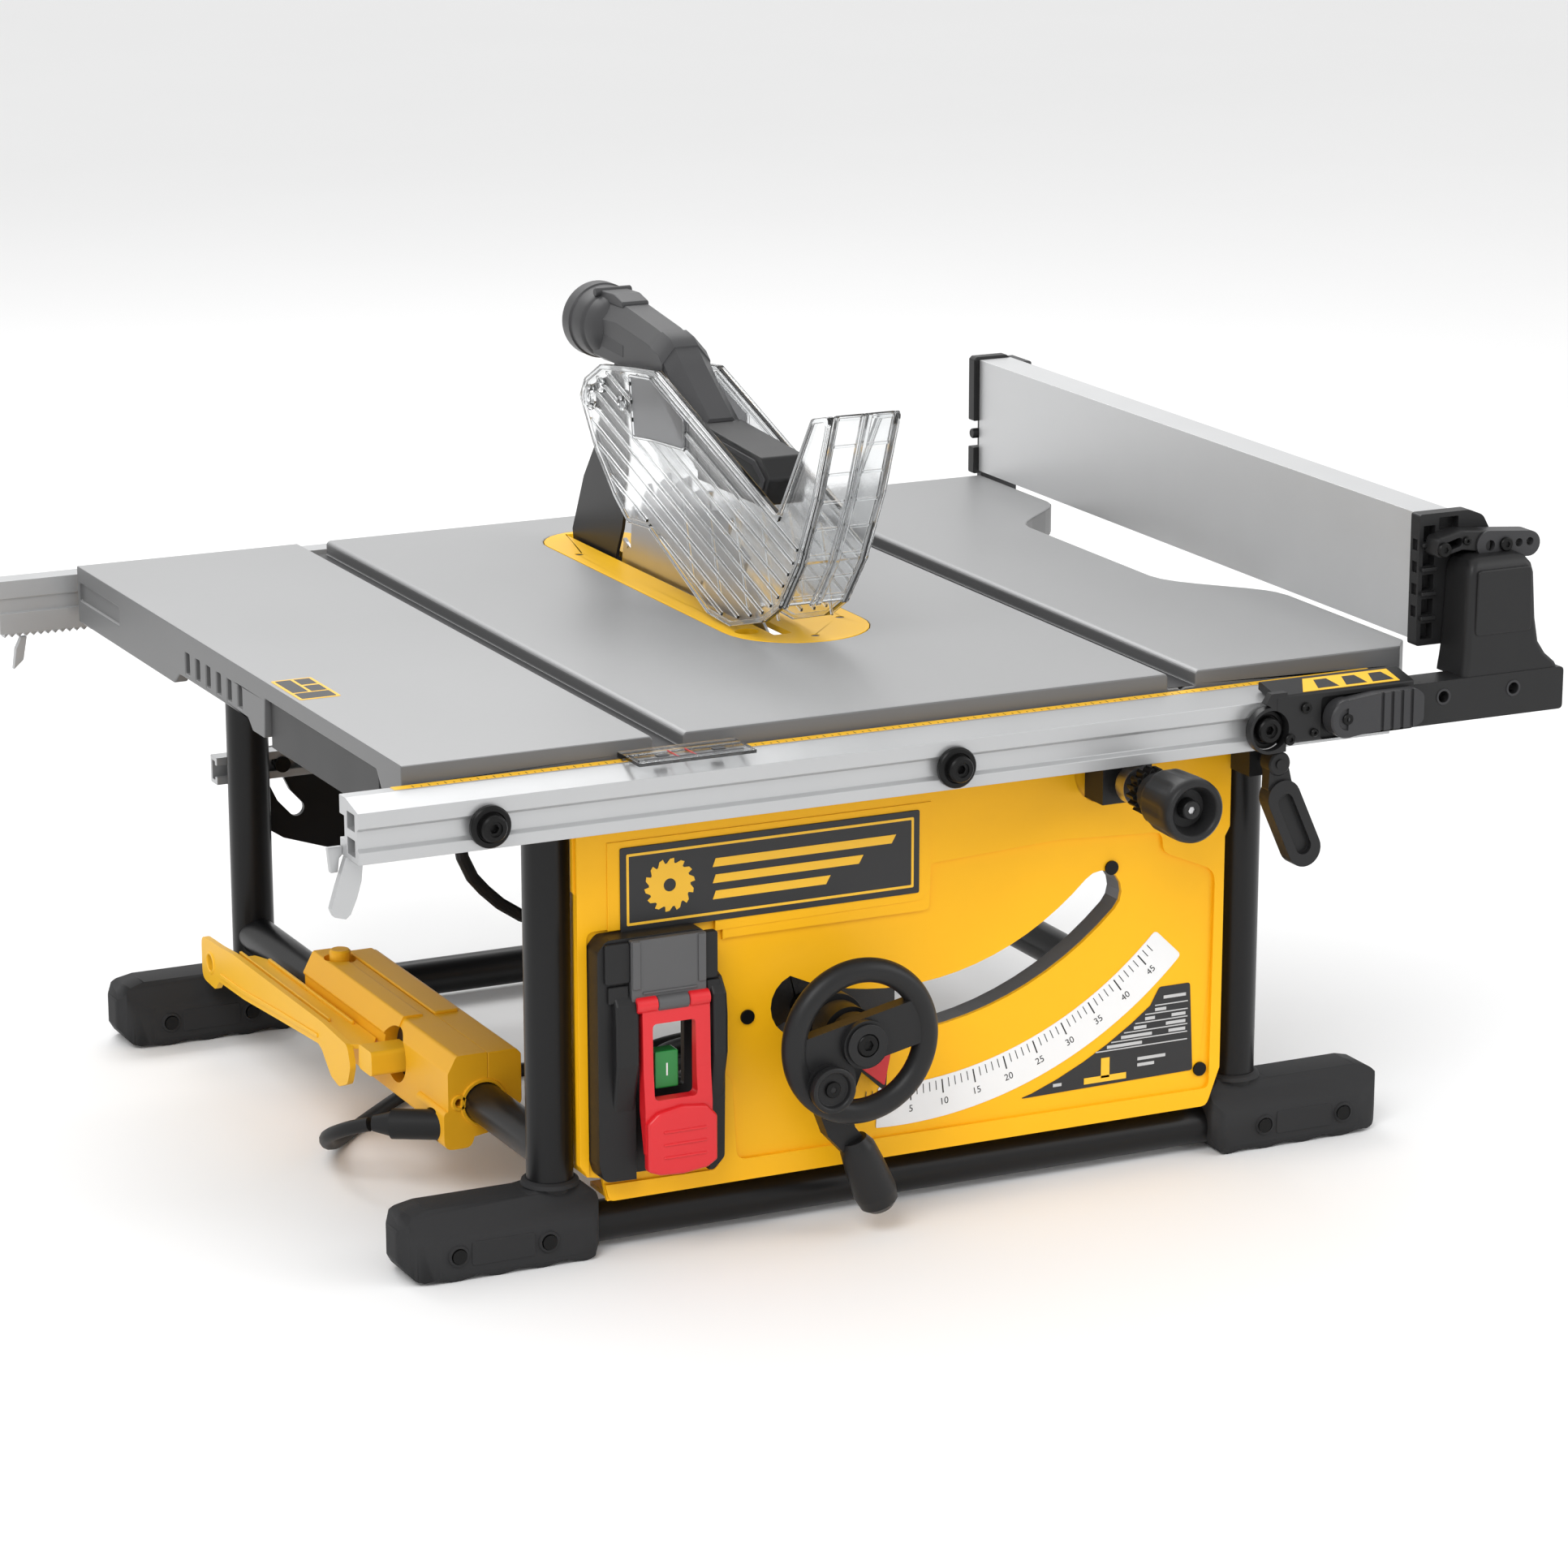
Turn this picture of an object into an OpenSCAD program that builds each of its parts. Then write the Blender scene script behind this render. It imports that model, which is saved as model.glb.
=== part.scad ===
// Jobsite table saw: tilting and rising blade on a tube frame, with a rack and pinion rip fence.
// Millimetres, +X to the right, +Y to the back, +Z up.  Modules are drawn from the table's
// front left corner, and place() moves each one so that the origin is at the middle of the floor.

/* [Table] */
// Width of the cast table
table_w = 676; // [670:1:680]
// Depth of the cast table
table_d = 576; // [574:1:578]
// Height of the working surface above the floor
table_h = 327; // [325:1:329]
// Width of a mitre slot
slot_w = 19; // [16:0.5:20]
// Depth of a mitre slot
slot_depth = 9.5; // [8:0.5:10]

/* [Blade] */
// Diameter of the saw blade
blade_d = 250; // [240:1:254]
// Number of teeth
blade_teeth = 24; // [18:2:60]
// Thickness of the saw teeth
kerf = 2.6; // [2.2:0.1:2.8]
// Thickness of the riving knife
knife_t = 2.3; // [2:0.1:2.4]

/* [Frame] */
// Outside diameter of a leg
leg_d = 28.4; // [26:0.2:29]
// Outside diameter of the tubes that join the legs
tube_d = 25.4; // [22:0.2:26]
// Wall of the tubes
tube_wall = 2; // [1.5:0.25:3]

/* [Fence] */
// Height of the rip fence
fence_h = 80; // [70:1:82]
// Thickness of the rip fence
fence_w = 25; // [20:1:26]
// Distance between rack teeth
rack_pitch = 5; // [4:1:8]

/* [Controls] */
// Diameter of the height handwheel
wheel_d = 103; // [95:1:108]
// Diameter of the fine adjustment knob
knob_d = 40; // [34:1:42]

/* [Cord] */
// Diameter of the mains cord
cord_d = 9; // [8:0.5:9]

/* [Hidden] */
$fn = 48;
e = 0.01;
fit = 0.05; // running clearance on a radius

// The origin, as seen from the front left corner of the table.
origin_x = 355;
origin_y = 264.5;

// Table
edge_t = 13;
plate_t = 8;
z_top = table_h;
z_under = z_top - plate_t;
slot_x = [166.5, 510];
notch_x = 624;
leg_x = [108.4, 580.7];
leg_y = [48, 556.4];
leg_top = 300;

// Blade, its pivot for the bevel, and the motor
bx = 333.5;
by = 325;
bz = 279;
pivot_z = table_h;
blade_r = blade_d / 2;
disc_t = 1.8;
motor_y = 300;
motor_z = 242;
motor_d = 108;
motor_x = [154, 300];
arbor_d = 16;
rotor_d = 10;
gear_r = 28;
pinion_r = 15.4;

// Bevel and height controls
panel_y = 28;
wheel_x = 281;
wheel_z = 130;
shaft_d = 12;
screw_y = 105;
rod_x = [250, 310];
rod_d = 14;
slot_in = 184;
slot_out = 214;
slot_from = -19;
slot_to = 44;
shoe_in = 70;
shoe_out = 82;

// Rails and fence
rail_x = [-39, 640];
rail_z = 281;
rear_rail_x = [-50, 632];
rear_rail_y = [590, 606];
fence_x = 675;
fence_z = [330, 330 + fence_h];
pin_x = 472;
pin_z = 264;
pin_r = 12.6;
bolt_x = [40, 338, 549];
bolt_z = 295;
guide_x = [70, 430, 610];
lock_at = [567, 268];

// Blade guard
hinge_y = 436;
hinge_z = 438;
spine_w = 32;
shield_t = 3;
shield_gap = 19.2; // from the blade to the inside of a shield

// Cord: out of the gland to the floor and into the coil, and out of the coil to the parked plug
floor_z = cord_d / 2;
coil_at = [345, 300];
coil_in = 36;
coil_out = 63;
lead_in = [[165, 106, 70], [165, 116, 69], [166, 126, 64], [168, 135, 56], [171, 142, 46],
  [174, 148, 36], [178, 155, 25], [184, 164, 15], [192, 175, 8], [202, 188, 5],
  [216, 203, floor_z], [234, 218, floor_z], [256, 230, floor_z], [284, 238, floor_z],
  [314, 241.5, floor_z], [345, 241.5, floor_z]];
lead_out = [[345, 358.5, 1.5 * cord_d], [325, 358.5, 12], [300, 359, 7.5], [275, 361, 5],
  [240, 367, floor_z], [205, 374, floor_z], [175, 374, floor_z], [152, 366, floor_z],
  [130, 350, floor_z], [106, 328, floor_z], [84, 307, floor_z], [70, 292, 5], [60, 279, 7],
  [52, 267, 11], [45, 254, 17], [40, 240, 24], [37, 226, 31], [37, 214, 38], [41, 203, 43],
  [50, 194, 46]];
// The plug is parked in the holder, and leans back and to the left out of its hole.
plug_at = [85, 166, 49];
plug_turn = [0, 93.3, 140.8];
plug_d = 19;

// ---------- helpers ----------

function arc(c, r, a, b, n) = [for (i = [0:n]) c + r * [cos(a + (b - a) * i / n), sin(a + (b - a) * i / n)]];
// A point at angle a to the right of straight down, r from the bevel pivot, in the XZ plane.
function down(r, a) = [bx + r * sin(a), pivot_z - r * cos(a)];
// A ring sector about the bevel pivot.
function band(r0, r1, a, b, n) = concat([for (i = [0:n]) down(r0, a + (b - a) * i / n)],
  [for (i = [n:-1:0]) down(r1, a + (b - a) * i / n)]);
// A round ended link between two points.
function link(p, q, r) = let (a = atan2(q[1] - p[1], q[0] - p[0]))
  concat(arc(p, r, a + 90, a + 270, 12), arc(q, r, a - 90, a + 90, 12));

module place() translate([-origin_x, -origin_y, 0]) children();
module slab_x(x0, x1) translate([x0, 0, 0]) rotate([90, 0, 90]) linear_extrude(x1 - x0) children();
module slab_y(y0, y1) translate([0, y1, 0]) rotate([90, 0, 0]) linear_extrude(y1 - y0) children();
module slab_z(z0, z1) translate([0, 0, z0]) linear_extrude(z1 - z0) children();
module bar_x(x0, x1, y, z, d) translate([x0, y, z]) rotate([0, 90, 0]) cylinder(d = d, h = x1 - x0);
module bar_y(y0, y1, x, z, d) translate([x, y1, z]) rotate([90, 0, 0]) cylinder(d = d, h = y1 - y0);
module bar_z(z0, z1, x, y, d) translate([x, y, z0]) cylinder(d = d, h = z1 - z0);
module block(a, b) translate(a) cube(b - a);

// A tube swept along a list of points.
module sweep(path, d, sides) {
  n = len(path);
  function dir(i) = let (v = path[min(i + 1, n - 1)] - path[max(i - 1, 0)]) v / norm(v);
  function side(i) = let (s = cross(dir(i), [0, 0, 1])) norm(s) > 0.01 ? s / norm(s) : [1, 0, 0];
  function up(i) = cross(side(i), dir(i));
  points = [for (i = [0:n - 1]) for (k = [0:sides - 1])
    path[i] + d / 2 * (cos(k * 360 / sides) * side(i) + sin(k * 360 / sides) * up(i))];
  rings = [for (i = [0:n - 2]) for (k = [0:sides - 1])
    [i * sides + k, i * sides + (k + 1) % sides, (i + 1) * sides + (k + 1) % sides, (i + 1) * sides + k]];
  caps = [[for (k = [sides - 1:-1:0]) k], [for (k = [0:sides - 1]) (n - 1) * sides + k]];
  polyhedron(points, concat(rings, caps));
}

// ---------- table ----------

// Plan of the table; the right side is cut back between the front and rear pads.
function notch(y0, y1, x0, x1) = [for (i = [0:8]) [x0 + (x1 - x0) * (1 - cos(22.5 * i)) / 2, y0 + (y1 - y0) * i / 8]];
function table_plan(i) = concat([[i, i], [table_w - 10 - i, i], [table_w - i, 12 + i]],
  notch(150 - i, 240 - i, table_w - i, notch_x - i), notch(405 + i, 475 + i, notch_x - i, table_w - i),
  [[table_w - i, table_d - i], [i, table_d - i]]);
// Plan of the throat plate: round at the front, narrower at the back.
function throat_plan(g) = concat(arc([352, 215], 48 + g, 180, 360, 16),
  arc([364, 400], 36 + g, 0, 25, 3), arc([339, 494], 35 + g, 25, 180, 12));

module table_top() color("#8f9192") difference() {
  union() {
    slab_z(z_under, z_top) polygon(table_plan(0));
    // front and back edges
    block([0, 0, z_top - edge_t], [table_w - 12, 8, z_under + e]);
    block([0, table_d - 8, z_top - edge_t], [table_w - 1, table_d, z_under + e]);
    // right hand apron, which follows the cut-out
    slab_z(z_top - 20, z_under + e) difference() {
      polygon(table_plan(0));
      translate([-10, 0]) polygon(table_plan(0));
      square([notch_x - 40, table_d]);
    }
    // left hand apron with its deep pads and the stepped grille
    slab_x(0, 9) polygon([[0, z_under + e], [0, 290], [20, 290], [39, 316], [222, 316], [224, 291],
      [245, 291], [252, 297], [377, 297], [388, 289], [table_d, 289], [table_d, z_under + e]]);
    // ribs under the slots and across
    for (x = slot_x) block([x - 17, 8, z_under - 8], [x + 17, table_d - 8, z_under + e]);
    for (y = [232, 470]) block([9, y, z_under - 8], [slot_x[0], y + 8, z_under + e]);
    // leg bosses
    for (x = leg_x) for (y = leg_y) block([x - 22, y - 16, leg_top], [x + 22, min(y + 20, table_d), z_under + e]);
  }
  for (x = slot_x) {
    block([x - slot_w / 2, -1, z_top - slot_depth], [x + slot_w / 2, table_d + 1, z_top + 1]);
    slab_y(-1, table_d + 1) polygon([[x - slot_w / 2 - 2, z_top + e], [x + slot_w / 2 + 2, z_top + e], [x, z_top - 12]]);
  }
  slab_z(z_top - 4, z_top + 1) polygon(throat_plan(0.4));
  slab_z(z_under - 9, z_top) polygon(throat_plan(-5));
  // grille
  for (i = [0:5]) block([-1, 262 + 19 * i, 300], [10, 270 + 19 * i, 314]);
  block([-1, 492, 304], [2, 572, 316]);
}

module throat_plate() color("#f5b400") difference() {
  slab_z(z_top - 4, z_top) polygon(throat_plan(0));
  block([bx - 4, 196, z_top - 5], [bx + 8, 523, z_top + 1]);
  bar_z(z_top - 5, z_top + 1, 318, 212, 15);
  for (p = throat_screws) bar_z(z_top - 5, z_top + 1, p[0], p[1], 5.5);
}
throat_screws = [[313, 462], [352, 184], [388, 222]];
panel_screws = [[230, 138], [479, 200], [136, 296], [545, 60]];
foot_screw_z = 17;

module base_screws() color("#202020") {
  for (p = throat_screws) bar_z(z_top - 9, z_top - 0.4, p[0], p[1], 5.4);
  for (p = panel_screws) {
    bar_y(panel_y - 1.5, panel_y, p[0], p[1], 9);
    bar_y(panel_y, panel_y + 12, p[0], p[1], 4);
  }
  for (x = foot_x) for (y = foot_faces) bar_y(y - 2.5, y - e, x, foot_screw_z, 9);
  for (x = cross_bolts) {
    bar_y(leg_y[1] + 12.6, leg_y[1] + 14.6, x, cross_z, 11);
    bar_y(leg_y[1] + 14.6, leg_y[1] + 26.6, x, cross_z, 7.9);
  }
}
foot_x = [39, 97, 591, 649];
foot_faces = [for (y = leg_y) y - 24];

module side_pocket() color("#2b2b2d") difference() {
  block([3, 42, 286], [74, 220, 316]);
  block([6, 45, 289], [71, 221, 313]);
}

// ---------- front panel and bevel scale ----------

module arc_slot(y0, y1, grow) slab_y(y0, y1) polygon(concat(
  [for (i = [0:16]) down(slot_in - grow, slot_from + (slot_to - slot_from) * i / 16)],
  arc(down((slot_in + slot_out) / 2, slot_to), (slot_out - slot_in) / 2 + grow, slot_to + 90, slot_to - 90, 8),
  [for (i = [16:-1:0]) down(slot_out + grow, slot_from + (slot_to - slot_from) * i / 16)],
  arc(down(198, slot_from - 1), 20 + grow, 250, 110, 8)));

module front_panel() color("#f7b500") difference() {
  union() {
    slab_y(panel_y, panel_y + 3) polygon([[117, 310.9], [117, 230], [118.5, 228], [118.5, 60], [124, 52], [134, 50], [137, 35],
      [550, 35], [559, 60], [559, 212], [563, 217], [563, 310.9]]);
    // raised field for the name plate
    slab_y(panel_y - 3, panel_y) polygon([[138, 258], [138, 199], [142, 195], [345, 197], [352, 203], [352, 258]]);
    // flanges behind the face
    block([124, panel_y + 3 - e, 52], [127, 58, 298]);
    block([553, panel_y + 3 - e, 60], [556, 58, 298]);
    block([139, panel_y + 3 - e, 35], [549, 58, 38]);
    for (p = [panel_screws[0], panel_screws[1]]) bar_y(panel_y + 3 - e, 44, p[0], p[1], 14);
  }
  arc_slot(panel_y - 4, panel_y + 22, 0);
  for (p = panel_screws) bar_y(panel_y - 4, 60, p[0], p[1], 4.1);
  // openings for the switch and for the shafts under the rail
  block([137, panel_y - 1, 70], [195, panel_y + 4, 190]);
  block([124, panel_y - 4, 190], [208, panel_y, 204.2]);
  bar_y(panel_y - 4, 60, pin_x, pin_z, 20);
}

module bevel_guide() color("#9c9ea0") difference() {
  arc_slot(panel_y + 3, panel_y + 19, 3);
  arc_slot(panel_y + 2, panel_y + 20, 0);
  for (p = panel_screws) bar_y(panel_y, 60, p[0], p[1], 15);
}

module switch_housing() color("#202124") difference() {
  union() {
    slab_y(8, panel_y) polygon([[125, 62], [131, 52], [200, 51], [207, 60], [207, 140], [200, 158],
      [200, 196], [190, 203], [131, 203], [125, 192]]);
    block([140, panel_y - e, 72], [192, 76, 188]);
  }
  // well for the start button and for the travel of the stop paddle
  block([148.5, 6, 51], [196.5, 24, 158]);
  block([160, 20, 103], [182, 40, 133]);
  bar_x(146, 195, 7, 162, 8.1);
}

module start_button() color("#0e7a34") union() {
  block([163, 14, 106], [178, 24.5, 129]);
  block([167, 24, 112], [174, 34, 123]);
}

module stop_paddle() color("#d3132a") difference() {
  union() {
    bar_x(147, 194, 7, 162, 8);
    slab_x(150, 195) polygon([[3.5, 162], [9, 156], [9, 98], [4, 60], [0, 57], [-2, 62], [3, 98]]);
  }
  block([157, -4, 103], [185, 14, 150]);
}

// ---------- frame ----------

module tube_z(x, y, z0, z1, d) difference() {
  bar_z(z0, z1, x, y, d);
  bar_z(z0 - 1, z1 + 1, x, y, d - 2 * tube_wall);
}

module frame_legs() color("#1d1d1f") for (x = leg_x) for (y = leg_y) tube_z(x, y, 3, leg_top, leg_d);

low_tube_z = 16;
side_tube_z = 65;
module frame_tubes() color("#1d1d1f") difference() {
  union() {
    for (y = leg_y) bar_x(leg_x[0], leg_x[1], y, low_tube_z, tube_d);
    for (x = leg_x) bar_y(leg_y[0], leg_y[1], x, side_tube_z, tube_d);
  }
  for (y = leg_y) bar_x(leg_x[0], leg_x[1], y, low_tube_z, tube_d - 2 * tube_wall);
  for (x = leg_x) bar_y(leg_y[0], leg_y[1], x, side_tube_z, tube_d - 2 * tube_wall);
  for (x = leg_x) for (y = leg_y) bar_z(0, leg_top, x, y, leg_d);
}

// A boot lies along X with its leg at x = 0; the outer end is long and round.
module boot(outer) mirror([outer > 0 ? 0 : 1, 0, 0]) difference() {
  intersection() {
    slab_y(-24, 24) polygon([[-24, 10], [-18, 1], [-8, 0], [16, 0], [20, 3], [24, 0], [42, 0], [46, 3], [50, 0],
      [68, 0], [72, 3], [76, 0], [92, 1], [103, 13], [103, 33], [94, 42], [84, 44], [16, 44], [8, 46], [-18, 46],
      [-24, 40]]);
    slab_z(-1, 60) polygon([[-24, -18], [-18, -24], [84, -24], [97, -18], [103, -8], [103, 8], [97, 18], [84, 24],
      [-18, 24], [-24, 18]]);
    slab_x(-25, 104) polygon([[-21, -1], [-24, 6], [-24, 28], [-14, 41], [-10, 47], [10, 47], [14, 41], [24, 28],
      [24, 6], [21, -1]]);
  }
  bar_z(3, 60, 0, 0, leg_d);
  bar_x(-30, 0, 0, low_tube_z, tube_d);
}

module foot_boots() color("#2a2a2c") for (y = leg_y) {
  translate([leg_x[0], y, 0]) boot(-1);
  translate([leg_x[1], y, 0]) boot(1);
}

cross_z = 176.5;
cross_bolts = [138, 551];
module rear_cross_rail() color("#b9bbbd") difference() {
  block([91, leg_y[1] + 14.6, cross_z - 9.5], [598, leg_y[1] + 26.6, cross_z + 9.5]);
  block([90, leg_y[1] + 18, cross_z - 6.5], [599, leg_y[1] + 24, cross_z + 6.5]);
  block([90, leg_y[1] + 14, cross_z - 4], [599, leg_y[1] + 19, cross_z + 4]);
  for (x = cross_bolts) bar_y(leg_y[1] + 10, leg_y[1] + 30, x, cross_z, 8);
}

// ---------- bevel mechanism ----------

module trunnion_plate(y0, y1) difference() {
  slab_y(y0, y1) intersection() {
    translate([bx, pivot_z]) circle(r = 94);
    translate([bx - 94, pivot_z - 94]) square([188, 94 - plate_t]);
  }
  slab_y(y0 - 1, y1 + 1) polygon(band(shoe_in, shoe_out, -26, 70, 24));
  slab_y(y0 - 1, y1 + 1) translate([bx, pivot_z]) circle(r = 40);
}

module trunnion_front() color("#55585a") trunnion_plate(50, 56);

module trunnion_rear() color("#232325") {
  trunnion_plate(553, 559);
  // slotted plate that hangs from the rear cross rail
  difference() {
    slab_y(leg_y[1] + 26.6, leg_y[1] + 30.6) polygon([[108, 186], [108, 150], [118, 141], [130, 129], [142, 121],
      [172, 111], [187, 107], [196, 109], [203, 119], [203, 140], [196, 150], [184, 156], [176, 164], [172, 186]]);
    slab_y(leg_y[1] + 20, leg_y[1] + 36) {
      polygon(link([136, 166], [143, 151], 5.6));
      polygon(link([143, 151], [152, 141], 5.6));
    }
    bar_y(leg_y[1] + 10, leg_y[1] + 40, cross_bolts[0], cross_z, 8);
  }
}

module shoe(y0, y1) slab_y(y0, y1) polygon(band(shoe_in + 0.3, shoe_out - 0.3, -22, 22, 14));

module tilt_carriage() color("#46494c") {
  difference() {
    union() {
      slab_y(58, 64) polygon([[236, 105], [345, 105], [345, 200], [380, 200], [380, 245], [345, 262], [345, 300],
        [236, 300]]);
      block([236, 63, 105], [326, 122, 111]);
      block([236, 63, 300], [326, 122, 306]);
      block([374, 60, 200], [380, 548, 245]);
      slab_y(545, 551) polygon([[380, 200], [380, 245], [330, 288], [278, 288], [278, 262], [300, 236], [374, 228],
        [374, 200]]);
      shoe(50.3, 58);
      shoe(551, 558.7);
    }
    bar_y(40, 70, wheel_x, wheel_z, shaft_d + 2 * fit);
  }
}

module guide_rods() color("#c3c6c9") for (x = rod_x) bar_z(111, 300, x, screw_y, rod_d);

module lift_screw() color("#a9acaf") union() {
  bar_z(111.1, 299.9, wheel_x, screw_y, shaft_d);
  bar_z(142, 150, wheel_x, screw_y, 26);
}

module wheel_shaft() color("#a9acaf") union() {
  bar_y(-30, 94, wheel_x, wheel_z, shaft_d);
  bar_y(84, 92, wheel_x, wheel_z, 22);
}

knob_at = [wheel_x - 25, wheel_z - 23];
module hand_wheel() color("#1c1c1e") difference() {
  union() {
    translate([wheel_x, -22, wheel_z]) rotate([90, 0, 0]) rotate_extrude() translate([wheel_d / 2 - 7.5, 0]) circle(d = 15);
    bar_y(-31, -10, wheel_x, wheel_z, 30);
    slab_y(-27, -17) intersection() {
      translate([wheel_x, wheel_z]) circle(d = wheel_d - 16);
      union() {
        translate([wheel_x, wheel_z]) rotate(12) translate([-wheel_d / 2, -13]) square([wheel_d, 28]);
        translate(knob_at) circle(r = 20);
      }
    }
    bar_y(-30, -16, knob_at[0], knob_at[1], 27);
    bar_y(-37, -29, knob_at[0], knob_at[1], 8);
  }
  bar_y(-40, 0, wheel_x, wheel_z, shaft_d);
}

module crank_knob() color("#232325") translate([knob_at[0], -31, knob_at[1]]) rotate([90, 0, 0]) rotate_extrude()
  polygon([[4 + fit, 0], [12, 0], [14, 2.5], [14.5, 6], [13.6, 8.4], [11.4, 8.4], [10.4, 7], [10.2, 4.4], [4 + fit, 4.4]]);

module bevel_lock_lever() color("#1c1c1e") difference() {
  union() {
    bar_y(-7, 9, wheel_x, wheel_z, 34);
    slab_y(-6, 5) polygon([[266, 128], [296, 128], [290, 104], [282, 84], [286, 70], [300, 52], [290, 42], [268, 66],
      [262, 82], [264, 104]]);
    translate([286, -4, 62]) rotate([0, 158, 0]) rotate_extrude() polygon([[0, 0], [8, 0], [11, 6], [12.5, 20], [13.5, 38],
      [12, 46], [8, 50], [0, 51]]);
  }
  bar_y(-8, 10, wheel_x, wheel_z, shaft_d + 2 * fit);
}

module bevel_pointer() color("#d3132a") difference() {
  union() {
    bar_y(12, 24, wheel_x, wheel_z, 40);
    slab_y(20, 24) polygon([[270, 118], [296, 142], [322, 112], [down(246, -3.4)[0] + 1, down(246, -3.4)[1]],
      [down(246, -3.4)[0] - 1, down(246, -3.4)[1]], [302, 96]]);
    bar_y(23, 58, wheel_x, wheel_z, 16);
  }
  bar_y(0, 60, wheel_x, wheel_z, shaft_d + 2 * fit);
}

// ---------- what rises and falls with the blade ----------

module lift_bracket() color("#8a8d90") difference() {
  union() {
    block([236, 90, 250], [326, 120, 292]);
    block([300, 118, 215], [306, 515, 265]);
    // gear casing
    bar_x(300, 322, by, bz, 68);
    bar_x(300, 322, motor_y, motor_z, 46);
    // stand-offs for the shroud
    for (p = [[400, 240], [230, 230]]) bar_x(305, 324, p[0], p[1], 16);
    // clamp for the riving knife
    block([305, 465, 215], [342, 512, 263]);
  }
  for (x = rod_x) bar_z(249, 293, x, screw_y, rod_d + 2 * fit);
  bar_z(249, 293, wheel_x, screw_y, shaft_d + 2 * fit);
  bar_x(308, 319, by, bz, 60);
  bar_x(308, 319, motor_y, motor_z, 34);
  bar_x(299, 323, by, bz, arbor_d + 2 * fit);
  bar_x(299, 323, motor_y, motor_z, rotor_d + 2 * fit);
  block([bx - knife_t / 2 - fit, 464, 222], [bx + knife_t / 2 + fit, 513, 264]);
}

module motor_housing() color("#3c3f42") difference() {
  union() {
    bar_x(motor_x[0] + 12, motor_x[1], motor_y, motor_z, motor_d);
    bar_x(motor_x[0], motor_x[0] + 13, motor_y, motor_z, 84);
  }
  bar_x(motor_x[0] + 5, motor_x[1] - 5, motor_y, motor_z, 76);
  bar_x(motor_x[0] + 14, motor_x[1] - 5, motor_y, motor_z, motor_d - 6);
  bar_x(motor_x[0] - 1, motor_x[1] + 1, motor_y, motor_z, rotor_d + 2 * fit);
}

// The lead that loops under the motor from its end cap to its body.
lead_d = 8.5;
motor_lead_path = [[157, 300, 199.9], [156.5, 300, 190], [158.5, 300, 177], [165, 300, 163], [173, 300, 153.5],
  [184, 300, 143], [198, 300, 133.5], [216, 300, 126], [236, 300, 124], [254, 300, 128.5], [268, 300, 138],
  [278, 300, 152], [283, 300, 168], [284, 300, 187.7]];
module motor_lead() color("#19191b") sweep(motor_lead_path, lead_d, 10);

module motor_shaft() color("#b7babd") union() {
  bar_x(motor_x[0] + 0.5, 318, motor_y, motor_z, rotor_d);
  bar_x(185, 255, motor_y, motor_z, 58);
  bar_x(262, 276, motor_y, motor_z, 30);
  bar_x(309, 318, motor_y, motor_z, 2 * pinion_r);
}

module arbor_shaft() color("#b7babd") union() {
  bar_x(302, 353, by, bz, arbor_d);
  bar_x(309, 318, by, bz, 2 * gear_r);
  bar_x(324, 328, by, bz, 26);
}

// Outline of the blade: a steep gullet in front of each tooth and a long back behind it.
function blade_plan(r, n) = [for (i = [0:n - 1]) for (k = [0:4])
  let (a = -360 * (i + [0, 0.06, 0.45, 0.75, 0.93][k]) / n, q = r - [1, 1, 4, 9, 12][k])
  [q * cos(a), q * sin(a)]];
module saw_blade() color("#c9cccf") translate([0, by, bz]) union() {
  slab_x(bx - disc_t / 2, bx + disc_t / 2) difference() {
    polygon(blade_plan(blade_r, blade_teeth));
    circle(d = 30);
    for (a = [20:90:290]) rotate(a) translate([60, 0]) circle(d = 8);
  }
  for (i = [0:blade_teeth - 1]) rotate([-360 * i / blade_teeth, 0, 0])
    block([bx - kerf / 2, blade_r - 8, -1.6], [bx + kerf / 2, blade_r, 0.6]);
}

module blade_flanges() color("#a2a5a8") difference() {
  union() {
    bar_x(328, bx - disc_t / 2, by, bz, 50);
    bar_x(bx - disc_t / 2, bx + disc_t / 2, by, bz, 29.9);
    bar_x(bx + disc_t / 2, 339, by, bz, 46);
    translate([339, by, bz]) rotate([0, 90, 0]) cylinder(d = 27.7, h = 9, $fn = 6);
  }
  bar_x(300, 360, by, bz, arbor_d);
}

shroud_x = [324, 349];
shroud_d = 268;
port_at = [337, 123.5];
port_d = 63;
wall = 2.5;
module blade_shroud() color("#2e3033") difference() {
  union() {
    bar_x(shroud_x[0], shroud_x[1], by, bz, shroud_d);
    slab_x(shroud_x[0], shroud_x[1]) polygon([[290, 160], [398, 97], [402, 97], [402, 172]]);
    bar_y(398, 540, port_at[0], port_at[1], port_d);
  }
  bar_x(shroud_x[0] + wall, shroud_x[1] - wall, by, bz, shroud_d - 6);
  slab_x(shroud_x[0] + wall, shroud_x[1] - wall) polygon([[296, 162], [398, 101], [407, 101], [407, 146], [399, 146],
    [399, 172]]);
  bar_y(406, 541, port_at[0], port_at[1], port_d - 6);
  block([300, 150, 298], [380, 480, 420]);
  for (x = shroud_x) bar_x(x - 4, x + 4, by, bz, 60);
  block([bx - 3, 440, 222], [bx + 3, 470, 300]);
}

module riving_knife() color("#1f2022") slab_x(bx - knife_t / 2, bx + knife_t / 2) polygon(concat(
  [[508, 224], [512, 300], [518, 332], [498, 372], [476, 400], [446, 452], [443, 470], [432, 472], [428, 445], [420, 400]],
  [for (a = [32:-8:-22]) [by, bz] + (blade_r + 5) * [cos(a), sin(a)]],
  [[470, 224]]));

// ---------- blade guard ----------

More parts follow.
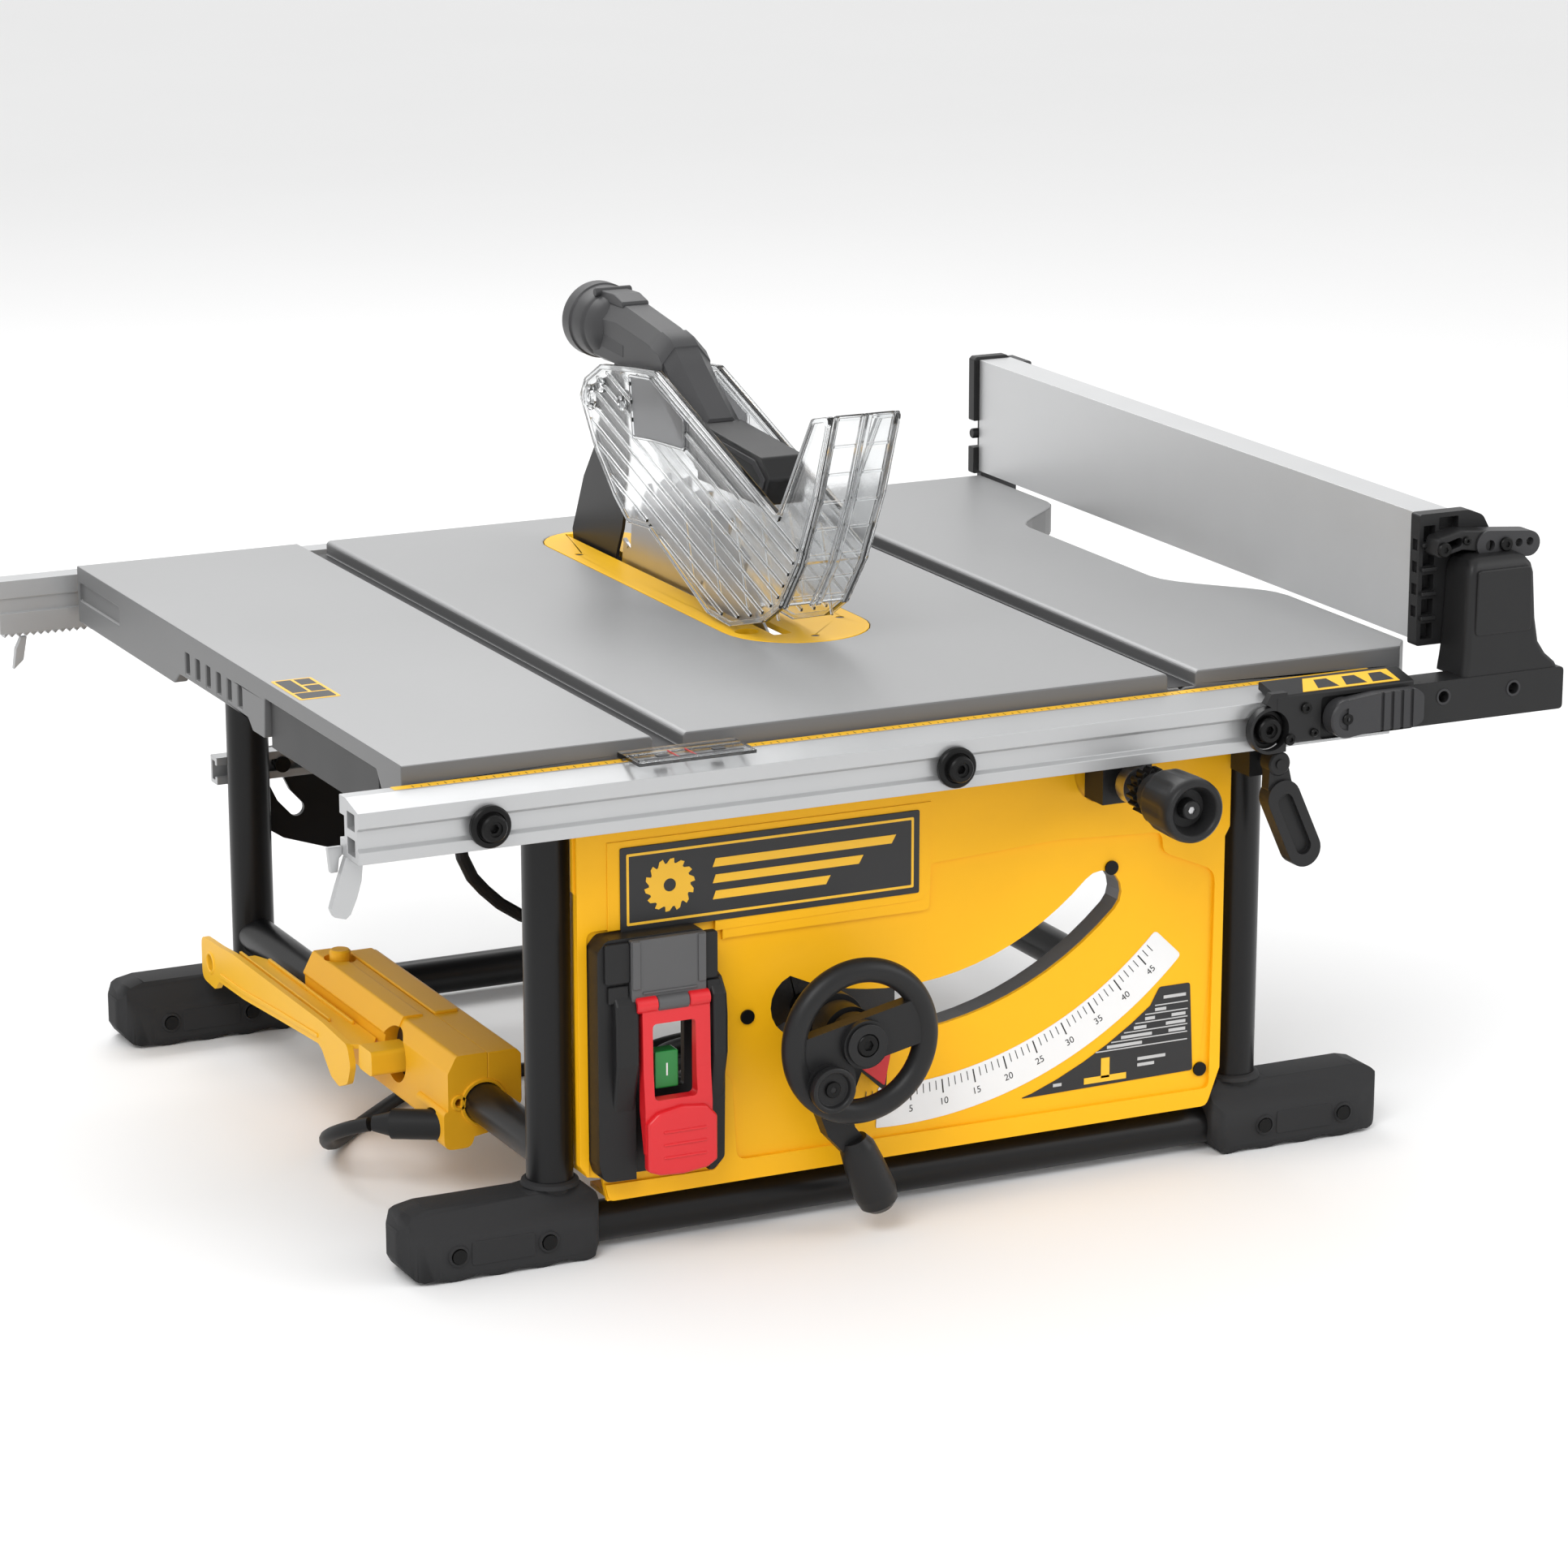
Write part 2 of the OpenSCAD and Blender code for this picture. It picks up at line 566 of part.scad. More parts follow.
spine_x = [bx - spine_w / 2, bx + spine_w / 2];
guard_port_z = 482.5;
guard_port_y = [445, 477];
guard_port_d = 50;
module guard_spine() color("#222326") difference() {
  union() {
    slab_x(spine_x[0], spine_x[1]) polygon(concat([[446, 463], [446, 489], [409, 491], [334, 478],
      [280, 444], [178, 438], [170, 428], [178, 411], [265, 411], [302, 430], [325, 450], [362, 463], [425, 463]],
      arc([hinge_y, hinge_z], 11, 180, 360, 12)));
    slab_x(spine_x[0] + 6, spine_x[1] - 6) polygon([[446, 480], [446, 498], [407, 500], [331, 487],
      [276, 449], [180, 442], [180, 432], [290, 440], [340, 472]]);
    bar_y(guard_port_y[0], guard_port_y[1], bx, guard_port_z, guard_port_d);
    bar_x(309, 358, hinge_y, hinge_z, 6);
  }
  // duct, open over the blade and at the back
  slab_x(spine_x[0] + 3, spine_x[1] - 3) polygon([[449, 474], [449, 487], [409, 487], [336, 476], [283, 440], [186, 434],
    [186, 400], [258, 400], [300, 434], [322, 454], [359, 468], [427, 474]]);
  bar_y(guard_port_y[0] + 3, guard_port_y[1] + 1, bx, guard_port_z, guard_port_d - 10);
  block([bx - knife_t / 2 - fit, 422, 420], [bx + knife_t / 2 + fit, 447, 473]);
}

module shield_plate(x0, x1) difference() {
  slab_x(x0, x1) polygon([[450, 437], [442, 450], [417, 463], [370, 469], [330, 473], [151, 413], [103, 482], [77, 488],
    [98, 434], [122, 388], [148, 356], [172, 342], [219, 329.5], [253, 331], [342, 368], [375, 366], [396, 379],
    [427, 406]]);
  bar_x(x0 - 1, x1 + 1, hinge_y, hinge_z, 6 + 2 * fit);
}

module shield_front(x0, x1) slab_x(x0, x1) polygon([[77, 488], [98, 434], [122, 388], [148, 356], [151, 358.5],
  [125, 390], [101, 435], [80.5, 487.3]]);

left_x = [bx - shield_gap - shield_t, bx - shield_gap];
right_x = [bx + shield_gap, bx + shield_gap + shield_t];
module shield_left() color("#dfe6ea", 0.45) union() {
  shield_plate(left_x[0], left_x[1]);
  shield_front(left_x[0], bx - 0.6);
}
module shield_right() color("#dfe6ea", 0.45) union() {
  shield_plate(right_x[0], right_x[1]);
  shield_front(bx + 0.6, right_x[1]);
}

module guard_link(x0, x1, q) difference() {
  slab_x(x0, x1) polygon(link([hinge_y, hinge_z], q, 8));
  bar_x(x0 - 1, x1 + 1, hinge_y, hinge_z, 6 + 2 * fit);
}
module shield_arm_left() color("#303235") guard_link(spine_x[0] - 1.4, spine_x[0] - 0.2, [385, 443]);
module shield_hub_left() color("#303235") guard_link(left_x[1] + 0.2, spine_x[0] - 1.6, [400, 452]);
module shield_hub_right() color("#303235") guard_link(spine_x[1] + 0.3, right_x[0] - 0.3, [385, 443]);

// ---------- rails ----------

// Rack teeth along X under a rail.
module rack(x0, x1, y0, y1, z) slab_y(y0, y1) polygon(concat([[x0, z]],
  [for (x = [x0:rack_pitch:x1 - rack_pitch]) each [[x + 0.2, z - 3.6], [x + rack_pitch * 0.6, z - 1]]],
  [[x1, z - 1], [x1, z]]));

module front_rail() color("#c4c6c8") union() {
  difference() {
    slab_x(rail_x[0], rail_x[1]) polygon([[-32, rail_z], [-32, 288], [-29, 290], [-29, 300], [-32, 302], [-32, 311],
      [-12, 316], [-3, 316], [-3, 305], [-10, 305], [-10, 291], [-3, 291], [-3, rail_z]]);
    block([rail_x[0] - 1, -26, 299], [rail_x[1] + 1, -14, 309]);
    block([rail_x[0] - 1, -26, 284], [rail_x[1] + 1, -14, 294]);
  }
  rack(rail_x[0] + 4, rail_x[1] - 2, -20, -12, rail_z + e);
}

module rear_rail() color("#c4c6c8") union() {
  difference() {
    block([rear_rail_x[0], rear_rail_y[0], 282], [rear_rail_x[1], rear_rail_y[1], 318]);
    block([rear_rail_x[0] - 1, 593, 303], [rear_rail_x[1] + 1, 603, 314]);
    block([rear_rail_x[0] - 1, 593, 286], [rear_rail_x[1] + 1, 603, 298]);
    block([rear_rail_x[0] - 1, 589, 296], [rear_rail_x[1] + 1, 592, 306]);
  }
  rack(rear_rail_x[0] + 4, rear_rail_x[1] - 2, 594, 602, 282 + e);
}

module rail_bolts() color("#161618") for (x = bolt_x) {
  bar_y(-36, -32, x, bolt_z, 25);
  bar_y(-42, -36, x, bolt_z, 17);
  bar_y(-32, -29, x, bolt_z, 9.4);
}

module rail_hooks() color("#c9cbcd") {
  slab_y(-12, -7) polygon([[-39, 281], [-28.5, 281], [-30, 266], [-33, 256], [-37, 247], [-40, 244.5], [-47, 246.5],
    [-49, 251], [-45, 264]]);
  slab_y(-6, -3) polygon([[-48, 286], [-39, 286], [-39, 281], [-41, 279], [-42, 271], [-46.5, 271]]);
  slab_y(596, 600) polygon([[-34, 278], [-30, 278], [-33, 262], [-40, 256], [-38, 270]]);
}

// Hangers under the front and back edges: guides for the rails, bearings for the pinion shaft and
// the pivot of the rail lock.
module rail_guides() color("#3a3c3f") difference() {
  union() {
    for (x = guide_x) {
      block([x - 14, -2.6, 288], [x + 14, 20, 313.9]);
      block([x - 14, -9, 292.5], [x + 14, -2.5, 303.5]);
      block([x - 14, table_d, 297], [x + 14, 589.8, 305]);
    }
    block([pin_x - 17, -2.6, 250], [pin_x + 17, 20, 313.9]);
    block([pin_x - 17, table_d, 250], [pin_x + 17, 589.8, 305]);
    block([lock_at[0] - 9, -2.6, 256], [lock_at[0] + 9, 20, 313.9]);
    bar_y(-25, -2, lock_at[0], lock_at[1], 6);
  }
  bar_y(-4, 600, pin_x, pin_z, 8 + 2 * fit);
}

module scale_cursor() color("#e8edf0", 0.5) {
  block([134, -31, 318], [209, -9, 320]);
  block([134, -9.1, 316.6], [209, -0.1, 320]);
}

module pinion_shaft() color("#8f9295") union() {
  bar_y(-80, 603, pin_x, pin_z, 8);
  bar_y(-20, -10, pin_x, pin_z, 2 * pin_r);
  bar_y(593, 603, pin_x, pin_z + 1, 2 * pin_r);
}

module adjust_knob() color("#262628") difference() {
  union() {
    bar_y(-85, -47, pin_x, pin_z, knob_d);
    bar_y(-47, -36, pin_x, pin_z, 26);
  }
  bar_y(-80, -30, pin_x, pin_z, 8);
  bar_y(-86, -82, pin_x, pin_z, 22);
}

module rail_lock_lever() color("#1b1b1d") difference() {
  union() {
    bar_y(-24, -12, lock_at[0], lock_at[1], 15);
    slab_y(-23, -13) polygon([[561, 266], [573, 266], [574, 254], [586, 250], [598, 216], [596, 206], [586, 201],
      [575, 205], [563, 240], [562, 254]]);
  }
  slab_y(-24, -20) polygon([[573, 244], [581, 244], [590, 218], [588, 211], [581, 211], [570, 238]]);
  bar_y(-26, -11, lock_at[0], lock_at[1], 6 + 2 * fit);
}

// ---------- fence ----------

module fence_beam() color("#c8cacc") difference() {
  block([fence_x, 0, fence_z[0]], [fence_x + fence_w, table_d + 1, fence_z[1]]);
  for (z = [fence_z[0] + 3, fence_z[0] + fence_h / 2 + 2])
    block([fence_x + 2.5, -1, z], [fence_x + fence_w - 2.5, table_d + 2, z + fence_h / 2 - 5]);
}

module fence_end_caps() color("#1c1c1e") {
  difference() {
    block([671, -10, 327.6], [700, 0, 411]);
    for (i = [0:4]) block([670, -8, 344 + 12 * i], [674, -3, 350 + 12 * i]);
  }
  slab_y(-10, 0) polygon([[700 - e, 380], [722, 380], [722, 399], [717, 407], [708, 411], [700 - e, 411]]);
  difference() {
    block([671, table_d + 1, 328], [702, table_d + 10, 412]);
    block([670, table_d, 347], [680, table_d + 11, 366]);
  }
  bar_x(671.5, 681, table_d + 5.5, 356.5, 7);
}

module fence_carrier() color("#1d1d1f") difference() {
  union() {
    // shoe over the end of the front rail, and the arm that carries the tower
    slab_x(552, 650) polygon([[-42, 285], [-42, 316], [-22, 320.4], [-19, 320.4], [-19, 315.5], [-33, 312], [-33, 285]]);
    block([641, -42, 286], [760, -20, 313]);
    block([520, -42, 284], [552, -36.2, 318]);
    // tower
    slab_y(-40, -10) polygon([[686, 312], [757, 312], [757, 317], [746, 324], [741, 332], [739, 378], [733, 384],
      [696, 388], [689, 384], [689, 330], [686, 322]]);
  }
  // recess for the latch and two fixing holes
  block([584, -43, 285], [645, -38, 313]);
  for (x = [672, 723]) bar_y(-43, -19, x, 303, 7);
  for (x = bolt_x) bar_y(-44, -31, x, bolt_z, 25.4);
}

module fence_latch_lever() color("#2c2c2e") difference() {
  union() {
    bar_y(-50, -38.1, 598, 299, 24);
    slab_y(-52, -43) polygon([[594, 287], [650, 287], [652, 290], [652, 312], [649, 314], [618, 314], [604, 311], [594, 311]]);
  }
  for (i = [0:3]) block([620 + 8 * i, -53, 290], [623 + 8 * i, -50, 311]);
}

module fence_link_bar() color("#232325") difference() {
  slab_y(-24, -10.1) polygon([[674, 384], [688.5, 386.5], [695, 389], [716, 386.8], [733, 385.2], [742, 384],
    [748, 386], [750, 390], [748, 396], [743, 398], [716, 400], [695, 400], [678, 398], [674, 392]]);
  for (x = [686, 718, 742]) bar_y(-26, -8, x, 391, 6);
}

module fence_rear_carrier() color("#1d1d1f") {
  block([560, 606.6, 284], [722, 614, 313]);
  block([693, 606.6, 312], [722, 614, 404]);
  block([693, table_d + 10, 322], [722, 606.7, 404]);
}

module fence_rear_lever() color("#232325") union() {
  bar_x(722.2, 727, 600, 384, 22);
  slab_x(723, 733) polygon(concat(arc([600, 384], 11, 0, 180, 10), arc([602, 342], 8, 180, 360, 8)));
}

// ---------- push stick and its holder ----------

stick_hole = [238, 73];
module stick_holder() color("#f2ad00") difference() {
  union() {
    slab_y(150, 395) polygon([[85, 50], [85, 86], [91, 97], [134, 97], [134, 60], [122, 47], [98, 43], [88, 46]]);
    slab_y(150, 198) polygon([[82, 36], [82, 62], [90, 62], [112, 50], [104, 36]]);
    bar_z(96, 109, 104, 366, 16);
  }
  bar_y(149, 396, leg_x[0], side_tube_z, tube_d + 0.2);
  bar_x(70, 94, stick_hole[0], stick_hole[1], 34);
  translate(plug_at) rotate(plug_turn) translate([0, 0, -7]) cylinder(d = plug_d + 2, h = 40);
  bar_y(149, 170, 91, 78, 4);
}

module push_stick() color("#f7b81a") union() {
  difference() {
    slab_x(62, 66) polygon(concat(arc([510, 62], 18, -60, 180, 14), [[488, 72], [470, 80], [402, 84], [320, 84], [268, 80],
      [256, 72], [262, 50], [276, 44], [290, 48], [312, 60], [380, 57], [450, 52], [488, 50]]));
    bar_x(60, 70, 510, 62, 12);
  }
  block([66 - e, 268, 73], [84, 470, 77]);
  block([66 - e, 227, 64], [92, 250, 80]);
  block([66 - e, 240, 73], [84, 270, 77]);
}

// ---------- mains cord ----------

module cord_gland() color("#161618") union() {
  bar_y(76, 80, lead_in[0][0], lead_in[0][2], 20);
  translate([lead_in[0][0], 105.9, lead_in[0][2]]) rotate([90, 0, 0]) cylinder(d1 = cord_d + 2, d2 = 16, h = 27);
}

module power_cord() color("#19191b") {
  sweep(lead_in, cord_d, 8);
  sweep(lead_out, cord_d, 8);
}

module cord_coil() color("#19191b") translate([coil_at[0], coil_at[1], 0]) rotate_extrude()
  translate([coil_in, 0]) square([coil_out - coil_in, 2 * cord_d]);

module mains_plug() color("#1b1b1d") translate(plug_at) rotate(plug_turn) union() {
  translate([0, 0, -5]) cylinder(d = plug_d, h = 35);
  translate([0, 0, 30 - e]) cylinder(d1 = plug_d - 3, d2 = cord_d + 1, h = 12.5);
}

// ---------- draw ----------

place() table_top();
place() throat_plate();
place() base_screws();
place() front_panel();
place() bevel_guide();
place() motor_lead();
place() frame_legs();
place() frame_tubes();
place() foot_boots();
place() rail_guides();
place() scale_cursor();
place() switch_housing();
place() trunnion_front();
place() trunnion_rear();
place() rear_cross_rail();
place() stick_holder();
place() side_pocket();
place() cord_gland();
place() power_cord();
place() cord_coil();
place() mains_plug();
place() front_rail();
place() rear_rail();
place() rail_bolts();
place() rail_hooks();
place() fence_beam();
place() fence_end_caps();
place() fence_carrier();
place() fence_rear_carrier();
place() fence_link_bar();
place() fence_latch_lever();
place() fence_rear_lever();
place() pinion_shaft();
place() adjust_knob();
place() rail_lock_lever();
place() tilt_carriage();
place() guide_rods();
place() bevel_pointer();
place() lift_screw();
place() hand_wheel();
place() wheel_shaft();
place() crank_knob();
place() bevel_lock_lever();
place() lift_bracket();
place() motor_housing();
place() blade_shroud();
place() riving_knife();
place() guard_spine();
place() shield_arm_left();
place() shield_hub_left();
place() shield_left();
place() shield_hub_right();
place() shield_right();
place() motor_shaft();
place() arbor_shaft();
place() saw_blade();
place() blade_flanges();
place() start_button();
place() stop_paddle();
place() push_stick();
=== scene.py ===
"""Looks of the jobsite table saw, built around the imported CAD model.

Places are in the table's own millimetres, as in the CAD source: X to the right and Y to the back from
the table's front left corner, Z up from the floor.  at() turns them into the row frame's metres."""

import math

import bmesh
import bpy
from mathutils import Matrix, Vector


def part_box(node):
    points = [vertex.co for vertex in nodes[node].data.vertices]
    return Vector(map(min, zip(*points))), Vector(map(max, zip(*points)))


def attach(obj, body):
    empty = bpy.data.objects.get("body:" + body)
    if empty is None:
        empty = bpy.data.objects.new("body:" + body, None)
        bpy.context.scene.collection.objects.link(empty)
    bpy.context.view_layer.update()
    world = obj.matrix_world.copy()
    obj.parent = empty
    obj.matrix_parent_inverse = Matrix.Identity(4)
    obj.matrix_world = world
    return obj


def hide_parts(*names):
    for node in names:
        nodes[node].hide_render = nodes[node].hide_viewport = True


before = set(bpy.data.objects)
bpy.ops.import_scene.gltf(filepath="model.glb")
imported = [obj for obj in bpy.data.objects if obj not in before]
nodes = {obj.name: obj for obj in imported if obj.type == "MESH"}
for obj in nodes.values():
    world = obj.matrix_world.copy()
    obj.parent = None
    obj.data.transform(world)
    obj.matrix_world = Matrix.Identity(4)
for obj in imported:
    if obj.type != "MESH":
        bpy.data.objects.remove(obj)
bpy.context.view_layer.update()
MM = 0.001
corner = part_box("table_top")[0]


def at(x, y, z):
    """A point of the row frame, in metres, from the table's millimetres."""
    return Vector((corner.x + x * MM, corner.y + y * MM, z * MM))


def sin(a):
    return math.sin(math.radians(a))


def cos(a):
    return math.cos(math.radians(a))


# ---------- camera ----------

CAMERA_AT = (-1055.3, -2683.8, 1088.1)
CAMERA_YAW = 26.0
CAMERA_DOWN = 16.88
CAMERA_LENS = 120.3
CAMERA_SHIFT = (-0.012, 0.1082)


def make_camera():
    data = bpy.data.cameras.new("camera")
    data.lens = CAMERA_LENS
    data.sensor_width = 36
    data.shift_x, data.shift_y = CAMERA_SHIFT
    data.clip_start, data.clip_end = 0.1, 50
    camera = bpy.data.objects.new("camera", data)
    camera.location = at(*CAMERA_AT)
    camera.rotation_euler = [math.radians(a) for a in (90 - CAMERA_DOWN, 0.0, -CAMERA_YAW)]
    bpy.context.scene.collection.objects.link(camera)
    bpy.context.scene.camera = camera


make_camera()

# ---------- materials ----------


def add(tree, kind, inputs=(), **settings):
    """Adds a shader node with its settings; an input is a value or the socket that feeds it."""
    made = tree.nodes.new("ShaderNode" + kind)
    for name, value in settings.items():
        setattr(made, name, value)
    feed(tree, made, inputs)
    return made


def feed(tree, target, inputs):
    for name, value in dict(inputs).items():
        if isinstance(value, bpy.types.NodeSocket):
            tree.links.new(value, target.inputs[name])
        else:
            target.inputs[name].default_value = value


def finish(name, colour, rough, metal=0.0, grain=0.0, size=0.5, stretch=(1, 1, 1), mottle=0.06,
           blotch=40.0, spread=0.08, level=0.5):
    """A procedural finish. grain is the depth in mm of a bump whose cells are size mm across and
    stretched along stretch; mottle varies the colour and spread the roughness over blotch mm."""
    made = bpy.data.materials.new(name)
    made.use_nodes = True
    tree = made.node_tree
    shader = tree.nodes["Principled BSDF"]
    place = add(tree, "TexCoord").outputs["Object"]
    large = add(tree, "TexNoise", {"Vector": place, "Scale": 1000 / blotch, "Detail": 5}).outputs["Fac"]
    low = (*[c * (1 - mottle) for c in colour], 1)
    high = (*[min(1, c * (1 + mottle)) for c in colour], 1)
    tint = add(tree, "Mix", {"Factor": large, "A": low, "B": high}, data_type="RGBA")
    cells = add(tree, "Mapping", {"Vector": place, "Scale": [1000 / size / s for s in stretch]})
    fine = add(tree, "TexNoise",
               {"Vector": cells.outputs["Vector"], "Scale": 1, "Detail": 3}).outputs["Fac"]
    half = add(tree, "Math", {0: fine, 1: 0.5}, operation="MULTIPLY")
    blend = add(tree, "Math", {0: large, 1: 0.5, 2: half.outputs["Value"]}, operation="MULTIPLY_ADD")
    gloss = add(tree, "MapRange", {"Value": blend.outputs["Value"], "To Min": max(0.02, rough - spread),
                                   "To Max": min(1, rough + spread)})
    feed(tree, shader, {"Base Color": tint.outputs["Result"], "Roughness": gloss.outputs["Result"],
                        "Metallic": metal, "Specular IOR Level": level})
    if grain:
        bump = add(tree, "Bump", {"Strength": 1, "Distance": grain * MM, "Height": fine})
        feed(tree, shader, {"Normal": bump.outputs["Normal"]})
    return made


def clear(name, tint, rough):
    """Clear polycarbonate with faint flow marks."""
    made = finish(name, tint, rough, grain=0.02, size=6, mottle=0.01, spread=0.02)
    feed(made.node_tree, made.node_tree.nodes["Principled BSDF"], {"Transmission Weight": 1, "IOR": 1.5})
    return made


def darken_sides(made, share):
    """Paints shade into the colour: the faces that do not look up get a darker copy of the same colour, down
    to share of it.
    """
    tree = made.node_tree
    shader = tree.nodes["Principled BSDF"]
    source = shader.inputs["Base Color"].links[0].from_socket
    facing = add(tree, "NewGeometry").outputs["True Normal"]
    parts = add(tree, "SeparateXYZ", {"Vector": facing})
    ramp = add(tree, "MapRange", {"Value": parts.outputs["Z"], "From Min": 0.35, "From Max": 0.75,
                                  "To Min": share, "To Max": 1})
    scale = add(tree, "Mix", {"Factor": 1, "A": source, "B": ramp.outputs["Result"]}, data_type="RGBA",
                blend_type="MULTIPLY")
    feed(tree, shader, {"Base Color": scale.outputs["Result"]})


YELLOW = (0.93, 0.47, 0.006)
FINISH = {
    "table": finish("ground_table", (0.33, 0.332, 0.335), 0.42, metal=0.25, grain=0.012, size=0.6,
                    stretch=(14, 1, 1), mottle=0.04, blotch=120),
    "cast": finish("cast_metal", (0.07, 0.072, 0.075), 0.6, metal=0.4, grain=0.08, size=0.9),
    "throat": finish("throat_paint", (0.95, 0.53, 0.006), 0.45, grain=0.02, size=1.2, mottle=0.03,
                     level=0.3),
    "panel": finish("panel_yellow", YELLOW, 0.4, grain=0.02, size=0.7, mottle=0.03, level=0.25),
    "stick": finish("stick_yellow", (0.86, 0.47, 0.02), 0.42, grain=0.02, size=0.8, mottle=0.04, level=0.3),
    "holder": finish("holder_yellow", (0.84, 0.42, 0.012), 0.45, grain=0.03, size=0.8, mottle=0.05,
                     level=0.3),
    "tube": finish("frame_paint", (0.007, 0.007, 0.0075), 0.33, grain=0.01, size=1.5, level=0.25),
    "boot": finish("foot_rubber", (0.022, 0.022, 0.023), 0.7, grain=0.05, size=0.5, mottle=0.1, level=0.25),
    "black": finish("black_plastic", (0.014, 0.014, 0.0145), 0.4, grain=0.03, size=0.5, mottle=0.1,
                    level=0.25),
    # dark plastic parts, and also the painted shade strips on the mitre slot floors
    "dark": finish("dark_plastic_and_slot_shade", (0.035, 0.035, 0.037), 0.42, grain=0.03, size=0.5, mottle=0.1,
                   level=0.25),
    "grey": finish("grey_plastic", (0.075, 0.075, 0.077), 0.45, grain=0.03, size=0.6, mottle=0.06),
    "duct": finish("duct_plastic", (0.05, 0.05, 0.052), 0.38, grain=0.02, size=0.6, mottle=0.08,
                   level=0.25),
    "rail": finish("anodised_rail", (0.46, 0.465, 0.47), 0.38, metal=0.6, grain=0.012, size=0.35,
                   stretch=(40, 1, 1), mottle=0.03),
    "fence": finish("anodised_fence", (0.6, 0.605, 0.61), 0.42, metal=0.6, grain=0.01, size=0.35,
                    stretch=(1, 40, 1), mottle=0.03),
    "steel": finish("bright_steel", (0.5, 0.5, 0.51), 0.32, metal=1, grain=0.01, size=0.3),
    "blade": finish("ground_blade", (0.5, 0.5, 0.51), 0.3, metal=1, grain=0.008, size=0.5),
    "knife": finish("black_steel", (0.02, 0.02, 0.021), 0.35, metal=0.5, grain=0.008, size=0.4, level=0.25),
    "bolt": finish("black_bolt", (0.012, 0.012, 0.012), 0.34, metal=0.6, grain=0.01, size=0.5, level=0.25),
    "zinc": finish("zinc_plate", (0.3, 0.3, 0.31), 0.45, metal=0.8, grain=0.02, size=0.8),
    "scale": finish("scale_print", (0.8, 0.8, 0.8), 0.5, grain=0.004, size=0.5, mottle=0.02),
    "red": finish("red_plastic", (0.62, 0.012, 0.018), 0.33, grain=0.015, size=0.6, mottle=0.04),
    "green": finish("green_plastic", (0.015, 0.22, 0.04), 0.3, grain=0.01, size=0.6, mottle=0.04),
    "cord": finish("cord_rubber", (0.012, 0.012, 0.0125), 0.5, grain=0.03, size=0.5, mottle=0.1,
                   level=0.25),
    "ink": finish("black_ink", (0.012, 0.012, 0.013), 0.45, grain=0.004, size=0.4),
    "print": finish("yellow_print", (0.9, 0.5, 0.02), 0.45, grain=0.004, size=0.4, mottle=0.02),
    "pale": finish("pale_print", (0.5, 0.5, 0.5), 0.5, grain=0.004, size=0.4, mottle=0.02),
    "clear": clear("clear_polycarbonate", (0.93, 0.94, 0.945), 0.06),
    "smoke": clear("smoked_window", (0.4, 0.4, 0.41), 0.3),
}

# painted shade: the table's faces that do not look up are darkened to 0.42 of its colour
darken_sides(FINISH["table"], 0.42)

# ---------- shapes ----------


def link(obj):
    bpy.context.scene.collection.objects.link(obj)
    return obj


def soften(obj, width, segments=2, limit=34):
    """Rounds the sharp edges of a piece by width mm."""
    if width:
        rounding = obj.modifiers.new("rounding", "BEVEL")
        rounding.width = width * MM
        rounding.segments = segments
        rounding.limit_method = "ANGLE"
        rounding.angle_limit = math.radians(limit)
        rounding.use_clamp_overlap = True
        rounding.miter_outer = "MITER_ARC"
    shading = obj.modifiers.new("shading", "WEIGHTED_NORMAL")
    shading.keep_sharp = True
    return obj


def show(node, kind, width=0.4, segments=2):
    """Gives a CAD node its finish and its softened edges."""
    obj = nodes[node]
    obj.data.materials.clear()
    obj.data.materials.append(FINISH[kind])
    if width:
        weld = obj.modifiers.new("weld", "WELD")
        weld.merge_threshold = 1e-5
    return soften(obj, width, segments)


def made_of(name, points, faces):
    """A mesh object from points of the row frame."""
    build = bmesh.new()
    corners = [build.verts.new(p) for p in points]
    for face in faces:
        build.faces.new([corners[i] for i in face])
    bmesh.ops.remove_doubles(build, verts=build.verts, dist=1e-6)
    bmesh.ops.recalc_face_normals(build, faces=build.faces)
    mesh = bpy.data.meshes.new(name)
    build.to_mesh(mesh)
    build.free()
    mesh.shade_smooth()
    mesh.set_sharp_from_angle(angle=math.radians(38))
    return link(bpy.data.objects.new(name, mesh))


AXES = {"x": lambda u, v, w: at(w, u, v), "y": lambda u, v, w: at(u, w, v), "z": at}


def prisms(name, outlines, axis, low, high):
    """One mesh of outlines drawn across axis and filled from low to high along it."""
    points, faces = [], []
    for outline in outlines:
        n, first = len(outline), len(points)
        points += [AXES[axis](u, v, w) for w in (low, high) for u, v in outline]
        faces += [range(first, first + n), range(first + 2 * n - 1, first + n - 1, -1)]
        faces += [[first + i, first + (i + 1) % n, first + n + (i + 1) % n, first + n + i]
                  for i in range(n)]
    return made_of(name, points, faces)


def prism(name, outline, axis, low, high):
    return prisms(name, [outline], axis, low, high)


def loft(name, sections):
    """A closed skin over sections, each a ring of as many (x, y, z) places."""
    n, last = len(sections[0]), len(sections) - 1
    points = [at(*p) for section in sections for p in section]
    faces = [range(n), range(last * n + n - 1, last * n - 1, -1)]
    faces += [[j * n + i, j * n + (i + 1) % n, (j + 1) * n + (i + 1) % n, (j + 1) * n + i]
              for j in range(last) for i in range(n)]
    return made_of(name, points, faces)


